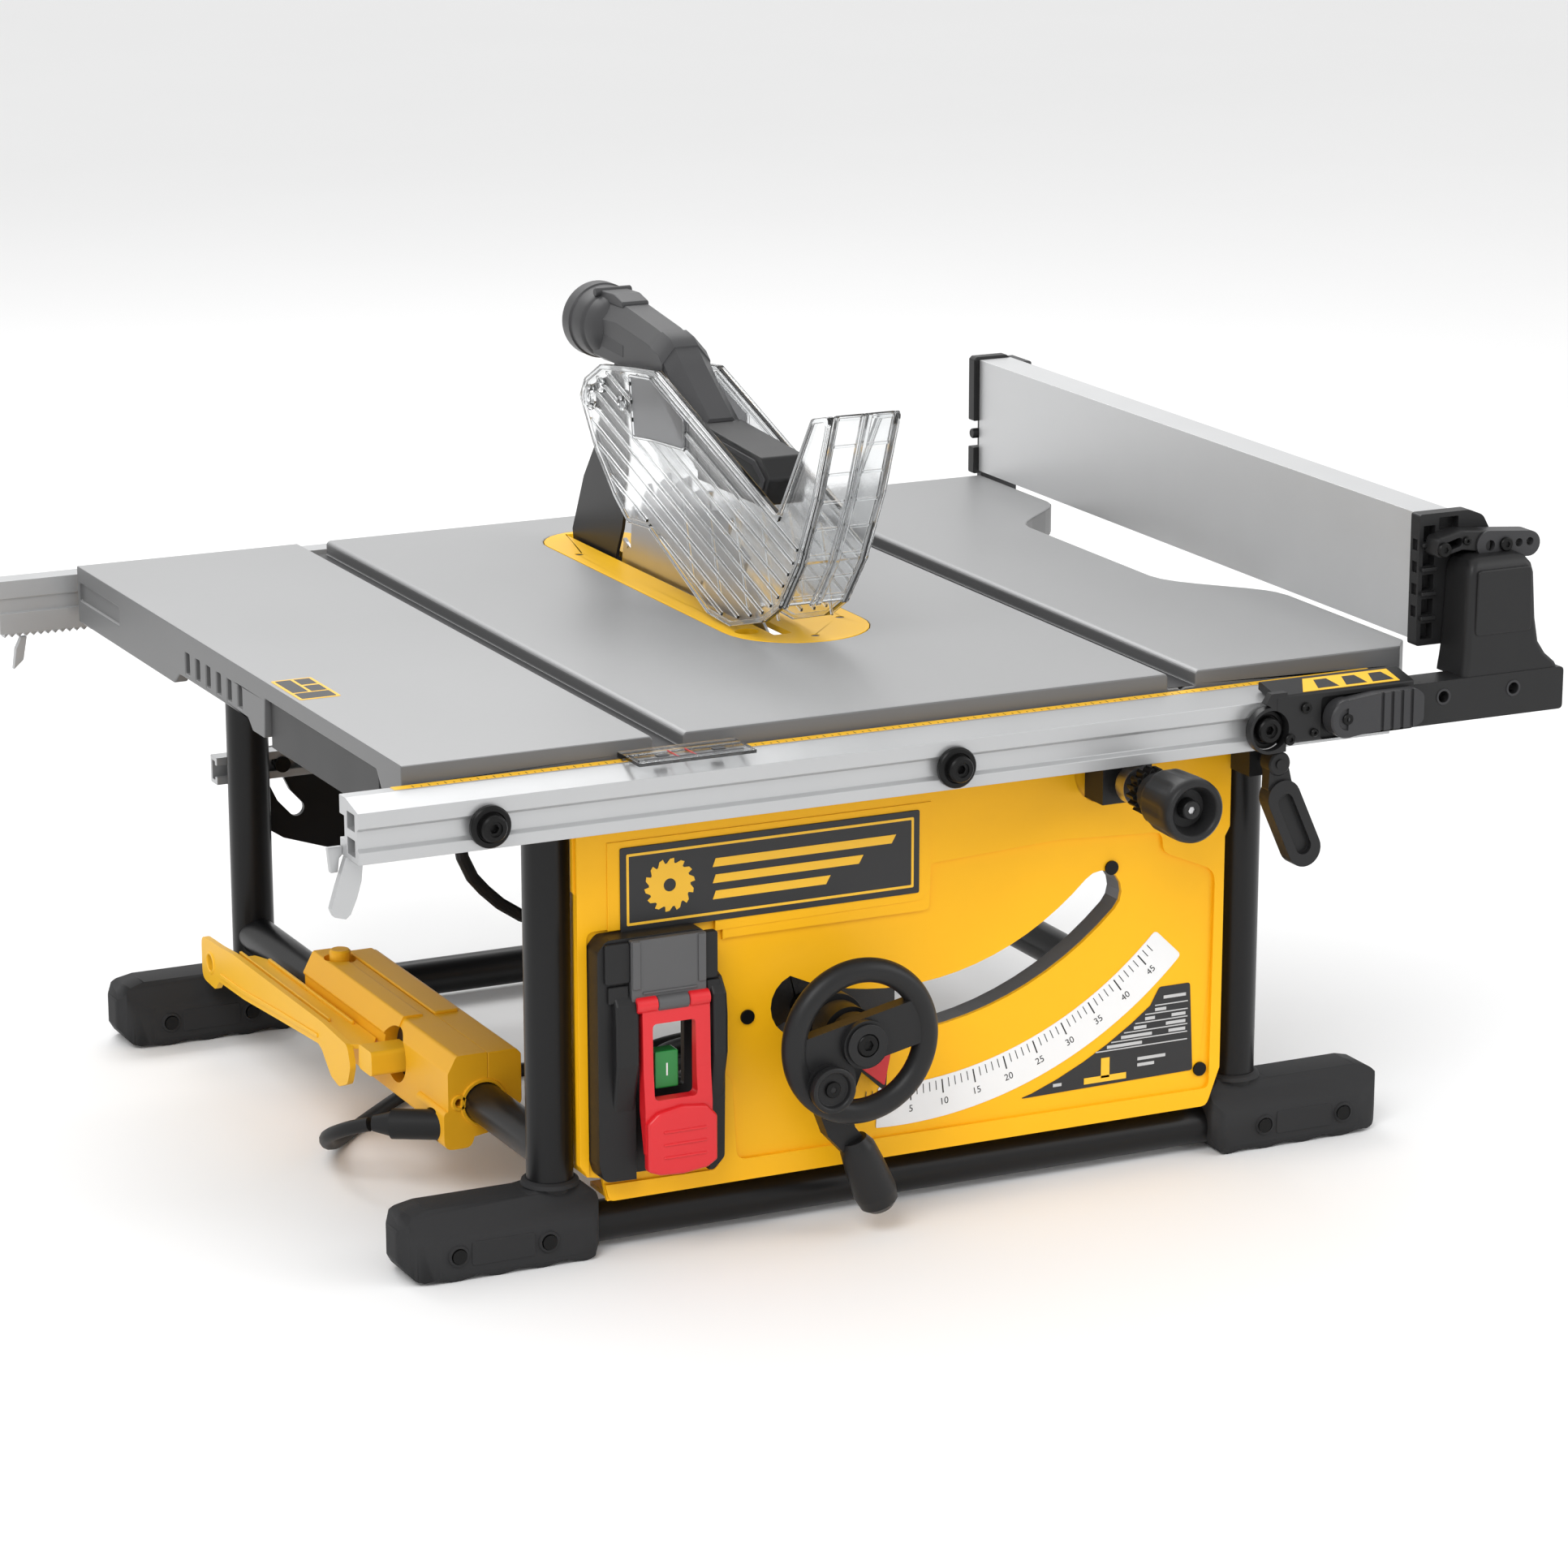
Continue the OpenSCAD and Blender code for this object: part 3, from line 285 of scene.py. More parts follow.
def lathe(name, profile, centre, axis=(0, 1, 0), steps=40, ring=False):
    """A body of revolution. profile gives (distance along axis from centre, radius); ring joins its ends."""
    turn = Vector(axis).to_track_quat("Z", "Y").to_matrix()
    middle = at(*centre)
    points = [middle + turn @ Vector((r * cos(360 * i / steps), r * sin(360 * i / steps), along)) * MM
              for along, r in profile for i in range(steps)]
    rows = len(profile)
    faces = []
    for j in range(rows if ring else rows - 1):
        a, b = j * steps, (j + 1) % rows * steps
        for i in range(steps):
            k = (i + 1) % steps
            quad = [a + i, a + k, b + k, b + i]
            if profile[j][1] == 0:
                quad = [a, b + k, b + i]
            elif profile[(j + 1) % rows][1] == 0:
                quad = [a + i, a + k, b]
            faces.append(quad)
    for j, r in ((0, profile[0][1]), (rows - 1, profile[-1][1])):
        if r and not ring:
            faces.append([j * steps + i for i in range(steps)])
    return made_of(name, points, faces)


def rod(name, radius, length, centre, axis=(0, 1, 0)):
    return lathe(name, [(0, 0), (0, radius), (length, radius), (length, 0)], centre, axis)


def rounded(outline, radius, steps=4):
    """The outline with rounded corners; radius is one number or one for each corner."""
    made = []
    for i, corner_at in enumerate(outline):
        r = radius if isinstance(radius, (int, float)) else radius[i]
        p = Vector(corner_at)
        a, b = Vector(outline[i - 1]) - p, Vector(outline[(i + 1) % len(outline)]) - p
        if not r:
            made.append(tuple(p))
            continue
        reach = min(r / max(0.05, math.tan(a.angle(b) / 2)), 0.48 * a.length, 0.48 * b.length)
        start, end = p + a.normalized() * reach, p + b.normalized() * reach
        for k in range(steps + 1):
            t = k / steps
            made.append(tuple(start.lerp(p, t).lerp(p.lerp(end, t), t)))
    return made


def box(u0, v0, u1, v1, radius=0, steps=4):
    return rounded([(u0, v0), (u1, v0), (u1, v1), (u0, v1)], radius, steps)


def circle(u, v, r, steps=32, start=0, end=360):
    return [(u + r * cos(start + (end - start) * i / steps), v + r * sin(start + (end - start) * i / steps))
            for i in range(steps + (end - start < 360))]


def settle(obj, tools):
    """Applies the modifiers of a piece and removes the tools they used."""
    bpy.context.view_layer.update()
    shape = bpy.data.meshes.new_from_object(obj.evaluated_get(bpy.context.evaluated_depsgraph_get()))
    obj.modifiers.clear()
    obj.data = shape
    for tool in tools:
        bpy.data.objects.remove(tool)
    return obj


def combine(obj, tools, operation):
    for tool in tools:
        step = obj.modifiers.new(operation.lower(), "BOOLEAN")
        step.operation = operation
        step.solver = "EXACT"
        step.object = tool
    return settle(obj, tools)


def cut(obj, *tools):
    return combine(obj, tools, "DIFFERENCE")


def fuse(obj, *tools):
    return combine(obj, tools, "UNION")


def piece(obj, body, kind, width=0, segments=2, replaces=()):
    """Finishes a new piece and puts it on its body."""
    obj.data.materials.clear()
    obj.data.materials.append(FINISH[kind])
    if obj.type == "MESH":
        weld = obj.modifiers.new("weld", "WELD")
        weld.merge_threshold = 1e-5
        soften(obj, width, segments)
    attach(obj, body)
    if replaces:
        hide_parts(*replaces)
    return obj


# ---------- cord ----------

CORD_D = 9
FLOOR_Z = CORD_D / 2
COIL_AT = (345, 300)
COIL_OUTER = 58.5
LEAD_IN = [(165, 106, 70), (165.4, 116, 68.8), (166.2, 126, 65.8), (168, 135.4, 60), (171, 143, 51.4),
           (174, 150, 40), (178, 157.4, 28.6), (184, 166, 17.6), (192, 176.4, 9.8), (202, 188.6, 5.4),
           (216, 203, FLOOR_Z), (234, 218, FLOOR_Z), (256, 230, FLOOR_Z), (284, 238, FLOOR_Z),
           (314, 241.5, FLOOR_Z)]
LEAD_OUT = [(325, 358.5, 12), (300, 359, 7.5), (275, 361, 5), (240, 367, FLOOR_Z), (205, 374, FLOOR_Z),
            (175, 374, FLOOR_Z), (152, 366, FLOOR_Z), (130, 350, FLOOR_Z), (106, 328, FLOOR_Z),
            (84, 307, FLOOR_Z), (70, 292, 5), (60, 279, 7), (52, 267, 11), (46.3, 257, 15),
            (41.2, 246.7, 20.2), (37.2, 235.9, 26), (35.3, 224.5, 31.8), (36.9, 213.1, 37.4),
            (42, 202.9, 42.4), (50, 194, 46)]
COIL_TURNS = 4.5
COIL_STEPS = 24


def ease(t, a, b):
    """0 before a, 1 after b, and a smooth rise between them."""
    s = min(1, max(0, (t - a) / (b - a)))
    return s * s * (3 - 2 * s)


def coil_point(t):
    """A point of the coil after t turns: three turns inwards on the floor, and then out on top."""
    moved = [ease(t, n + 0.6, n + 1.0) * 90 for n in range(3)]
    steps = sum(1 - cos(a) for a in moved[:2])
    outwards = ease(t, 3.0, 3.5) + ease(t, 3.6, 4.0)
    radius = COIL_OUTER - CORD_D * (steps - outwards)
    z = FLOOR_Z + CORD_D * sin(moved[2])
    angle = 360 * t - 90
    return (COIL_AT[0] + radius * cos(angle), COIL_AT[1] + radius * sin(angle), z)


def smooth(points, steps=6):
    """A Catmull-Rom line through the points."""
    ends = [points[0], *points, points[-1]]
    made = []
    for a, b, c, d in zip(ends, ends[1:], ends[2:], ends[3:]):
        for i in range(steps):
            t = i / steps
            made.append(0.5 * (2 * b + (c - a) * t + (2 * a - 5 * b + 4 * c - d) * t ** 2
                               + (3 * b - a - 3 * c + d) * t ** 3))
    return [*made, points[-1]]


def make_cord():
    count = int(COIL_TURNS * COIL_STEPS)
    coil = [coil_point(i / COIL_STEPS) for i in range(count + 1)]
    line = smooth([at(*p) for p in [*LEAD_IN, *coil, *LEAD_OUT]], 4)
    data = bpy.data.curves.new("mains_lead", "CURVE")
    data.dimensions = "3D"
    data.bevel_depth = CORD_D / 2 * MM
    data.bevel_resolution = 4
    data.use_fill_caps = True
    spline = data.splines.new("POLY")
    spline.points.add(len(line) - 1)
    for point, place in zip(spline.points, line):
        point.co = (*place, 1)
    spline.use_smooth = True
    cord = link(bpy.data.objects.new("mains_lead", data))
    data.materials.append(FINISH["cord"])
    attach(cord, "base")
    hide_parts("power_cord", "cord_coil")


make_cord()

# ---------- CAD nodes and their finishes ----------

CAD_FINISH = [("table_top", "table", 1.0), ("throat_plate", "throat", 0.5), ("base_screws", "bolt", 0.3),
              ("front_panel", "panel", 1.0), ("bevel_guide", "zinc", 0.4), ("frame_legs", "tube", 0),
              ("frame_tubes", "tube", 0), ("rail_guides", "black", 0.6), ("scale_cursor", "clear", 0.3),
              ("trunnion_front", "cast", 0.5), ("trunnion_rear", "tube", 0.5),
              ("rear_cross_rail", "rail", 0.4), ("side_pocket", "black", 0.8), ("cord_gland", "cord", 0.6),
              ("mains_plug", "cord", 1.2), ("front_rail", "rail", 0.3), ("rear_rail", "rail", 0.3),
              ("rail_hooks", "rail", 0.5), ("fence_beam", "fence", 0.5),
              ("fence_rear_carrier", "dark", 1.2), ("fence_rear_lever", "dark", 1.0),
              ("pinion_shaft", "steel", 0.3), ("tilt_carriage", "cast", 1.0), ("guide_rods", "steel", 0.3),
              ("bevel_pointer", "black", 0.8), ("lift_screw", "steel", 0.3), ("hand_wheel", "black", 0.8),
              ("wheel_shaft", "steel", 0.4), ("bevel_lock_lever", "black", 1.5),
              ("lift_bracket", "cast", 0.8), ("motor_housing", "cast", 1.0), ("motor_lead", "cord", 0),
              ("blade_shroud", "dark", 0.8), ("riving_knife", "knife", 0.2),
              ("shield_arm_left", "duct", 0.3), ("shield_hub_left", "duct", 0.3),
              ("shield_hub_right", "duct", 0.3), ("motor_shaft", "steel", 0.3),
              ("arbor_shaft", "steel", 0.3), ("saw_blade", "blade", 0), ("blade_flanges", "steel", 0.3),
              ("start_button", "green", 0.8)]
for node, kind, width in CAD_FINISH:
    show(node, kind, width)

# ---------- front panel ----------

BLADE_X = 333.5
PIVOT = (BLADE_X, 327)
WHEEL_X, WHEEL_Z = 281, 130
CRANK_X, CRANK_Z = 256, 107
KNOB_X, KNOB_Z = 472, 264
RAIL_BOLT_Z = 295
RAIL_BOLTS_X = (40, 338, 549)


def down(r, a):
    """A place on the panel, r from the bevel pivot and a degrees to the right of straight down."""
    return PIVOT[0] + r * sin(a), PIVOT[1] - r * cos(a)


def make_panel_relief():
    """The moulded rim round the sunken field of the panel."""
    rim = rounded([(118.6, 309), (118.6, 60), (124, 52.5), (134, 50.3), (137.4, 35.4), (549.6, 35.4),
                   (558.6, 60), (558.6, 211), (562, 217), (562, 309)], [0, 3, 3, 6, 4, 6, 3, 3, 3, 0])
    field = rounded([(212, 190), (212, 108), (219, 100), (222, 49), (551, 47), (552, 190), (514, 206),
                     (514, 219), (440, 223), (352, 219), (352, 190)],
                    [4, 10, 10, 7, 5, 12, 14, 20, 30, 4, 4])
    well = rounded([(124.5, 205), (124.5, 52), (131, 46), (207, 45), (213, 52), (213, 205)], 5)
    relief = prism("panel_rim", rim, "y", 25.6, 28.2)
    relief = cut(relief, prism("a", field, "y", 20, 30), prism("b", well, "y", 20, 30),
                 prism("c", circle(KNOB_X, KNOB_Z, 21), "y", 20, 30),
                 prism("d", circle(230, 138, 4.6), "y", 20, 30),
                 prism("e", circle(545, 60, 4.6), "y", 20, 30))
    return piece(relief, "base", "panel", width=2.2, segments=4)


def letters(name, made):
    """One flat mesh of numbers; each is (text, x, z, degrees, size)."""
    build = bmesh.new()
    for text, x, z, turn, size in made:
        data = bpy.data.curves.new("number", "FONT")
        data.body = text
        data.size = size * MM
        data.align_x = data.align_y = "CENTER"
        data.extrude = 0.04 * MM
        holder = link(bpy.data.objects.new("number", data))
        bpy.context.view_layer.update()
        flat = bpy.data.meshes.new_from_object(holder.evaluated_get(bpy.context.evaluated_depsgraph_get()))
        flat.transform(Matrix.Translation(at(x, 27.35, z)) @ Matrix.Rotation(math.radians(-turn), 4, "Y")
                       @ Matrix.Rotation(math.radians(90), 4, "X"))
        build.from_mesh(flat)
        bpy.data.objects.remove(holder)
    mesh = bpy.data.meshes.new(name)
    build.to_mesh(mesh)
    build.free()
    return link(bpy.data.objects.new(name, mesh))


def make_bevel_scale():
    band = [down(247, a * 49.5 / 24 - 3.5) for a in range(25)] + [down(273, 46 - a * 49.5 / 24)
                                                                  for a in range(25)]
    piece(prism("scale_band", rounded(band, [1] + [0] * 23 + [3, 3] + [0] * 23 + [1]), "y", 27.4, 28),
          "base", "scale", width=0.15)
    marks = []
    for degree in range(-2, 48):
        long = degree % 5 == 0
        a, half = degree - 3.4, 0.1 if long else 0.06
        outer = 258 if long else 255
        marks.append([down(249, a - half), down(249, a + half), down(outer, a + half),
                      down(outer, a - half)])
    piece(prisms("scale_marks", marks, "y", 27.3, 27.42), "base", "ink")
    numbers = [(str(n), *down(263.5, n - 3.4), n - 3.4, 6.2) for n in range(0, 50, 5)]
    piece(letters("scale_numbers", numbers), "base", "ink")


def gear_outline(x, z, inner, outer, count):
    made = []
    for i in range(count):
        for part, r in ((0, inner), (0.1, outer), (0.45, outer - 0.5), (0.8, inner)):
            a = 360 * (i + part) / count
            made.append((x + r * cos(a), z + r * sin(a)))
    return made


def make_plates():
    """Plain name and rating plates with a generic blade sign, bars and lines."""
    piece(prism("name_plate", box(146, 202, 344, 254, 1.5), "y", 24.3, 25), "base", "ink", width=0.2)
    border = prism("name_plate_border", box(150, 206, 340, 250, 1), "y", 24.1, 24.4)
    border = cut(border, prism("a", box(151.6, 207.6, 338.4, 248.4, 0.6), "y", 24, 25))
    piece(border, "base", "print")
    sign = prism("name_plate_sign", gear_outline(178, 228, 13.5, 16.5, 14), "y", 24.1, 24.4)
    sign = cut(sign, prism("a", circle(178, 228, 4), "y", 24, 25))
    piece(sign, "base", "print")
    bars = [[(206, z - 2.6), (end - 3, z - 2.6), (end, z + 2.6), (208, z + 2.6)]
            for z, end in ((238, 328), (228, 306), (218, 284))]
    piece(prisms("name_plate_bars", bars, "y", 24.1, 24.4), "base", "print")
    plate = rounded([(416, 58.5), *[down(281.5, a) for a in (19, 23, 27, 31, 35, 38.5)], (515, 118),
                     (537, 118), (540, 60)], [2, 0, 0, 0, 0, 0, 2, 3, 2, 2])
    piece(prism("rating_plate", plate, "y", 27.5, 28), "base", "ink", width=0.15)
    rows = [box(left, z, 535.5, z + 0.7)
            for left, z in ((512, 106), (505, 101), (498, 96), (490, 91), (481, 86), (470, 81))]
    rows += [box(left, z, right, z + 2)
             for left, z, right in ((518, 110, 534), (512, 102.6, 520), (505, 97.6, 512), (524, 97.6, 534),
                                    (497, 92.6, 506), (520, 92.6, 534), (488, 87.6, 510), (478, 82.6, 503),
                                    (522, 87.6, 534), (500, 72, 520), (500, 68, 512), (440, 63, 446))]
    piece(prisms("rating_plate_lines", rows, "y", 27.3, 27.55), "base", "pale")
    piece(prisms("rating_plate_mark", [box(462, 61.5, 492, 65.5), box(474, 64, 480, 77)], "y", 27.32,
                 27.55), "base", "print")


make_panel_relief()
make_bevel_scale()
make_plates()

# ---------- switch ----------


def make_switch():
    base = prism("switch_base",
                 rounded([(125, 64), (128, 53), (200, 51), (207, 58), (208, 140), (204, 165), (200, 196),
                          (192, 203), (131, 203), (125, 196)], [5, 6, 4, 5, 4, 3, 5, 5, 6, 5]), "y", 11, 28)
    base = cut(base, prism("a", box(149, 50, 197, 158, 3), "y", 6, 23),
               prism("b", box(158, 103, 186, 150, 2), "y", 6, 40))
    piece(base, "base", "black", width=2.4, segments=4, replaces=("switch_housing",))
    cheek = rounded([(24, 176), (12, 172), (5, 163), (3.5, 150), (3.5, 126), (14, 84), (24, 78)],
                    [0, 3, 3, 3, 5, 4, 0])
    for name, low, high in (("switch_cheek_left", 134, 148.6), ("switch_cheek_right", 196.6, 206.4)):
        piece(prism(name, cheek, "x", low, high), "base", "black", width=2, segments=4)
    tower = [box(129, 176, 145, 201, 2), box(193.5, 172, 202, 201, 2), box(131, 164, 144, 174.5, 1),
             box(194.5, 163, 204, 171, 1)]
    piece(prisms("switch_ribs", tower, "y", 8.4, 14), "base", "black", width=0.9)
    flap = prism("switch_flap", box(145, 163.5, 193.5, 202, 1), "y", 6.4, 12)
    piece(flap, "base", "grey", width=0.7)
    edges = [box(145.4, 172, 150.5, 201.5, 1), box(188, 172, 193, 201.5, 1), box(152, 168.5, 187, 170, 0.6)]
    piece(prisms("switch_flap_edges", edges, "y", 5.4, 7), "base", "grey", width=0.6)
    barrel = [(0, 0), (0, 4.4), (0.6, 5), (19.4, 5), (20, 4.4), (20, 0)]
    piece(lathe("switch_flap_hinge", barrel, (160.8, 7, 162), (1, 0, 0)), "base", "grey")
    ends = [(0, 0), (0, 4.2), (0.8, 5), (12.6, 5), (13.2, 4.6), (13.2, 0)]
    frame_part = rounded([(4.2, 162), (9.5, 157), (9.5, 96), (4, 70), (1.2, 70), (1, 98), (3.2, 120)],
                         [0, 2, 3, 2, 1, 6, 8])
    paddle = fuse(prism("stop_paddle_front", frame_part, "x", 150.6, 194.4),
                  lathe("a", ends, (147.2, 7, 162), (1, 0, 0)),
                  lathe("b", ends, (181.2, 7, 162), (1, 0, 0)))
    paddle = cut(paddle, prism("a", box(157, 103, 185, 150, 3), "y", -6, 20))
    piece(paddle, "paddle", "red", width=1.1, segments=3, replaces=("stop_paddle",))
    lip = rounded([(151, 60), (159, 57), (174, 56), (190, 58), (196.4, 62), (196.4, 90), (190, 97),
                   (174, 99), (158, 96), (151, 90)], [3, 6, 9, 6, 3, 4, 5, 12, 6, 4])
    piece(prism("stop_paddle_lip", lip, "y", -2.4, 5), "paddle", "red", width=1.8,
          segments=4)
    ribs = [box(161, z, 189, z + 1.5, 0.7) for z in (67, 75, 83)]
    piece(prisms("stop_paddle_ribs", ribs, "y", -3.1, -1.5), "paddle", "red", width=0.5)
    piece(prism("start_mark", box(170.1, 113.6, 171.1, 121.4), "y", 13.85, 14.2), "start", "scale")


make_switch()

# ---------- handwheel, knobs and bolts ----------


def make_hand_controls():
    hub = [(0, 7.2), (0, 12), (1.2, 13.2), (2.2, 13.2), (2.2, 7.2)]
    piece(lathe("wheel_hub_ring", [(2.2 - a, r) for a, r in hub], (WHEEL_X, -33.2, WHEEL_Z), ring=True),
          "wheel", "black", width=0.4)
    arrow = prism("bevel_pointer_flag",
                  rounded([(301, 114), (321, 111), (322.5, 103), (318.6, 84), (303, 97)], 1), "y", 19.2,
                  20.4)
    piece(arrow, "tilt", "red", width=0.3)
    nut = lathe("wheel_nut", [(0, 0), (0, 6), (1, 7), (3, 7), (3, 0)], (WHEEL_X, -33.4, WHEEL_Z))
    nut = cut(nut, prism("a", circle(WHEEL_X, WHEEL_Z, 3.4, 6), "y", -36, -31.5))
    piece(nut, "wheel", "bolt", width=0.3)
    grip = [(0, 4.1), (0, 12), (2.5, 14), (6, 14.5), (7.8, 14), (8.4, 13), (8.4, 12), (7.8, 11),
            (6.6, 10.5), (4.8, 10.2), (4.4, 9.6), (4.4, 4.1)]
    piece(lathe("crank_knob_grip", grip, (CRANK_X, -31, CRANK_Z), (0, -1, 0), ring=True), "crank", "black",
          replaces=("crank_knob",))
    head = lathe("crank_screw", [(0, 0), (0, 4.6), (0.6, 5), (1.4, 5), (1.4, 0)], (CRANK_X, -37.4, CRANK_Z))
    piece(cut(head, prism("a", circle(CRANK_X, CRANK_Z, 2, 6), "y", -39, -36.8)), "wheel", "bolt",
          width=0.2)


def make_rail_bolts():
    bolts = []
    for x in RAIL_BOLTS_X:
        ring = [(0, 0), (0, 11.4), (0.8, 12.5), (3.6, 12.5), (4.6, 11.6), (4.8, 9.2), (4, 8.8), (4, 8.2),
                (8.8, 8), (10, 7), (10, 4.6), (8.4, 4.4), (8.4, 0)]
        part = lathe(f"rail_bolt_{x}", ring, (x, -32, RAIL_BOLT_Z), (0, -1, 0))
        bolts.append(cut(part, prism("a", circle(x, RAIL_BOLT_Z, 2.9, 6), "y", -42, -37)))
    for number, part in enumerate(bolts):
        piece(part, "rails", "bolt", width=0.25, replaces=("rail_bolts",)
              if number == 0 else ())


def make_knob():
    """The fine adjustment knob: eight shallow flutes and a deep dished end."""
    sections = []
    for y, r, flute in ((-46.5, 13, 0), (-49, 17.2, 0), (-51, 18.6, 0.5), (-54, 19.4, 1.3), (-72, 20, 1.3),
                        (-76, 20, 0.7),
                        (-80, 20, 0), (-83.6, 19.4, 0), (-85, 18, 0), (-85, 15.6, 0), (-83.8, 14.2, 0),
                        (-78, 13, 0), (-74, 11.6, 0),
                        (-73.6, 5, 0)):
        ring = []
        for i in range(96):
            a = 360 * i / 96
            dip = flute * max(0, cos(8 * a)) ** 0.5 if cos(8 * a) > 0 else 0
            ring.append((KNOB_X + (r - dip) * cos(a), y, KNOB_Z + (r - dip) * sin(a)))
        sections.append(ring)
    piece(loft("adjust_knob_grip", sections), "pinion", "black", replaces=("adjust_knob",))
    collar = lathe("adjust_knob_collar", [(0, 0), (0, 12.2), (0.8, 13), (9, 13), (9.6, 12.2), (9.6, 0)],
                   (KNOB_X, -36, KNOB_Z), (0, -1, 0))
    piece(collar, "pinion", "black")
    head = lathe("adjust_knob_screw", [(0, 0), (0, 5.2), (0.8, 6), (7.6, 6.4), (7.6, 0)],
                 (KNOB_X, -81.2, KNOB_Z))
    piece(cut(head, prism("a", circle(KNOB_X, KNOB_Z, 2.6, 6), "y", -83, -79.8)), "pinion", "black",
          width=0.2)
    teeth = prism("pinion_teeth", gear_outline(KNOB_X, KNOB_Z, 12.4, 15.2, 16), "y", -35.8, -27)
    piece(teeth, "pinion", "bolt", width=0.3)


def make_lock_lever():
    """A neck and a flat oval grip with a sunken middle, which hang from the pivot."""
    grip = link_outline((570.5, 246), (586, 212), 11.5, 11.5)
    handle = prism("rail_lock_grip", grip, "y", -24.5, -13)
    handle = cut(handle, prism("a", link_outline((571.5, 243.5), (585, 214), 5.4, 5.4), "y", -26, -20.5))
    neck = prism("b", rounded([(560.5, 270), (573, 270), (578, 250), (566, 244), (560, 252)], 2), "y",
                 -22.5, -14)
    boss = lathe("c", [(0, 0), (0, 7), (0.8, 7.6), (11, 7.6), (12, 6.6), (12, 0)], (567, -12, 268),
                 (0, -1, 0))
    piece(fuse(handle, neck, boss), "rail_lock", "black", width=1.5, segments=4,
          replaces=("rail_lock_lever",))


def link_outline(p, q, r, s, steps=14):
    """A round ended bar from p, of radius r, to q, of radius s."""
    a = math.degrees(math.atan2(q[1] - p[1], q[0] - p[0]))
    return [*circle(*p, r, steps, a + 90, a + 270), *circle(*q, s, steps, a - 90, a + 90)]


make_hand_controls()
make_rail_bolts()
make_knob()
make_lock_lever()

# ---------- blade guard ----------

PORT_Z = 482.5
HINGE = (436, 438)
SHIELD = [(450, 437), (442, 450), (417, 463), (370, 469), (330, 473), (151, 413), (103, 482), (77, 488),
          (98, 434), (122, 388), (148, 356), (172, 342), (219, 329.5), (253, 331), (342, 368), (375, 366),
          (396, 379), (427, 406)]
HORN = SHIELD[7:11]


def eight(y, low, side_low, side_high, top, grow=0.0, half=16.0, crown=8.0):
    """A cross section of the duct arm, with its corners cut off."""
    w, c = half + grow, crown + grow * 0.4
    rows = ((-c, low - grow), (-w, side_low), (-w, side_high), (-c, top + grow), (c, top + grow),
            (w, side_high), (w, side_low), (c, low - grow))
    return [(BLADE_X + x, y, z) for x, z in rows]


def make_duct():
    arm = loft("guard_arm",
               [eight(446, 460, 465, 489, 500), eight(409, 461, 464, 491, 501),
                eight(360, 463, 467, 485, 494), eight(338, 455, 461, 480, 489),
                eight(322, 444, 449, 466, 476), eight(282, 411, 418, 441, 449)])
    nose = prism("guard_nose",
                 rounded([(282.4, 447), (192, 441), (181, 429), (189, 411), (282.4, 411)], [0, 5, 4, 3, 0]),
                 "x", 319, 348)
    duct = prism("a",
                 [(449, 474), (449, 487), (409, 487), (336, 476), (283, 440), (186, 434), (186, 400),
                  (258, 400), (300, 434), (322, 454), (359, 468), (427, 474)], "x", 320.5, 346.5)
    slit = prism("b", box(422, 420, 447, 473), "x", 332.3, 334.7)
    bore = rod("c", 20, 10, (BLADE_X, 440, PORT_Z))
    under = prism("d", [(287, 433.5), (194, 429.5), (194, 400), (287, 400)], "x", 320.5, 346.5)
    piece(cut(nose, under), "lift", "black", width=1.4, segments=3)
    piece(cut(arm, duct, slit, bore), "lift", "duct", width=1.2, segments=3, replaces=("guard_spine",))
    lip = loft("guard_bend_lip",
               [eight(352, 463, 466, 483.5, 492.5, 1.1), eight(340, 456, 462, 481, 490, 1.1),
                eight(334, 453, 458, 476, 485.5, 1.1)])
    inside = loft("a", [eight(354, 463, 467, 484.2, 493, -1.4), eight(340, 456, 462, 481, 490, -1.4),
                        eight(332, 451, 457, 474, 483.6, -1.4)])
    piece(cut(lip, inside,
              prism("b", [(360, 440), (360, 466), (345, 462), (330, 452), (320, 440)], "x", 310, 357)),
          "lift", "duct", width=0.6, segments=3)
    port = [(428, 14.4), (430, 17.5), (436, 21), (445, 22.4), (446, 21.8), (448, 22.4), (450, 23.6),
            (460, 23.9), (464, 24), (465, 25), (475.6, 25), (477, 24.2), (477, 20.8), (476.2, 20),
            (446, 20), (436, 18)]
    piece(lathe("guard_port", port, (BLADE_X, 0, PORT_Z), steps=56, ring=True), "lift", "duct")
    latch = prism("guard_latch",
                  rounded([(412, 499), (412, 503), (426, 506.5), (446, 506), (451, 503), (451, 499)],
                          [0, 2, 4, 3, 2, 0]), "x", 324, 343)
    piece(latch, "lift", "duct", width=1, segments=3)
    piece(lathe("guard_latch_pin", [(0, 0), (0, 2.4), (0.6, 3), (25.4, 3), (26, 2.4), (26, 0)],
                (320.5, 449, 504.5), (1, 0, 0)), "lift", "duct")
    for side, x, nose_x in (("left", 317.3, 318.1), ("right", 349.2, 347.5)):
        plate = prism(f"guard_plate_{side}", rounded([(436, 482), (397, 478), (397, 470), (434, 472)], 1.2),
                      "x", x, x + 0.5)
        piece(plate, "lift", "dark", width=0.2)
        hexagon = rounded([(276, 443), (200, 438), (186, 428), (194, 413), (270, 413)], 2)
        inner = rounded([(268, 439.2), (204, 434.6), (192, 427), (198, 416.6), (264, 416.6)], 2)
        band = cut(prism(f"guard_nose_band_{side}", hexagon, "x", nose_x, nose_x + 1.4),
                   prism("a", inner, "x", nose_x - 2, nose_x + 3))
        piece(band, "lift", "dark", width=0.5)


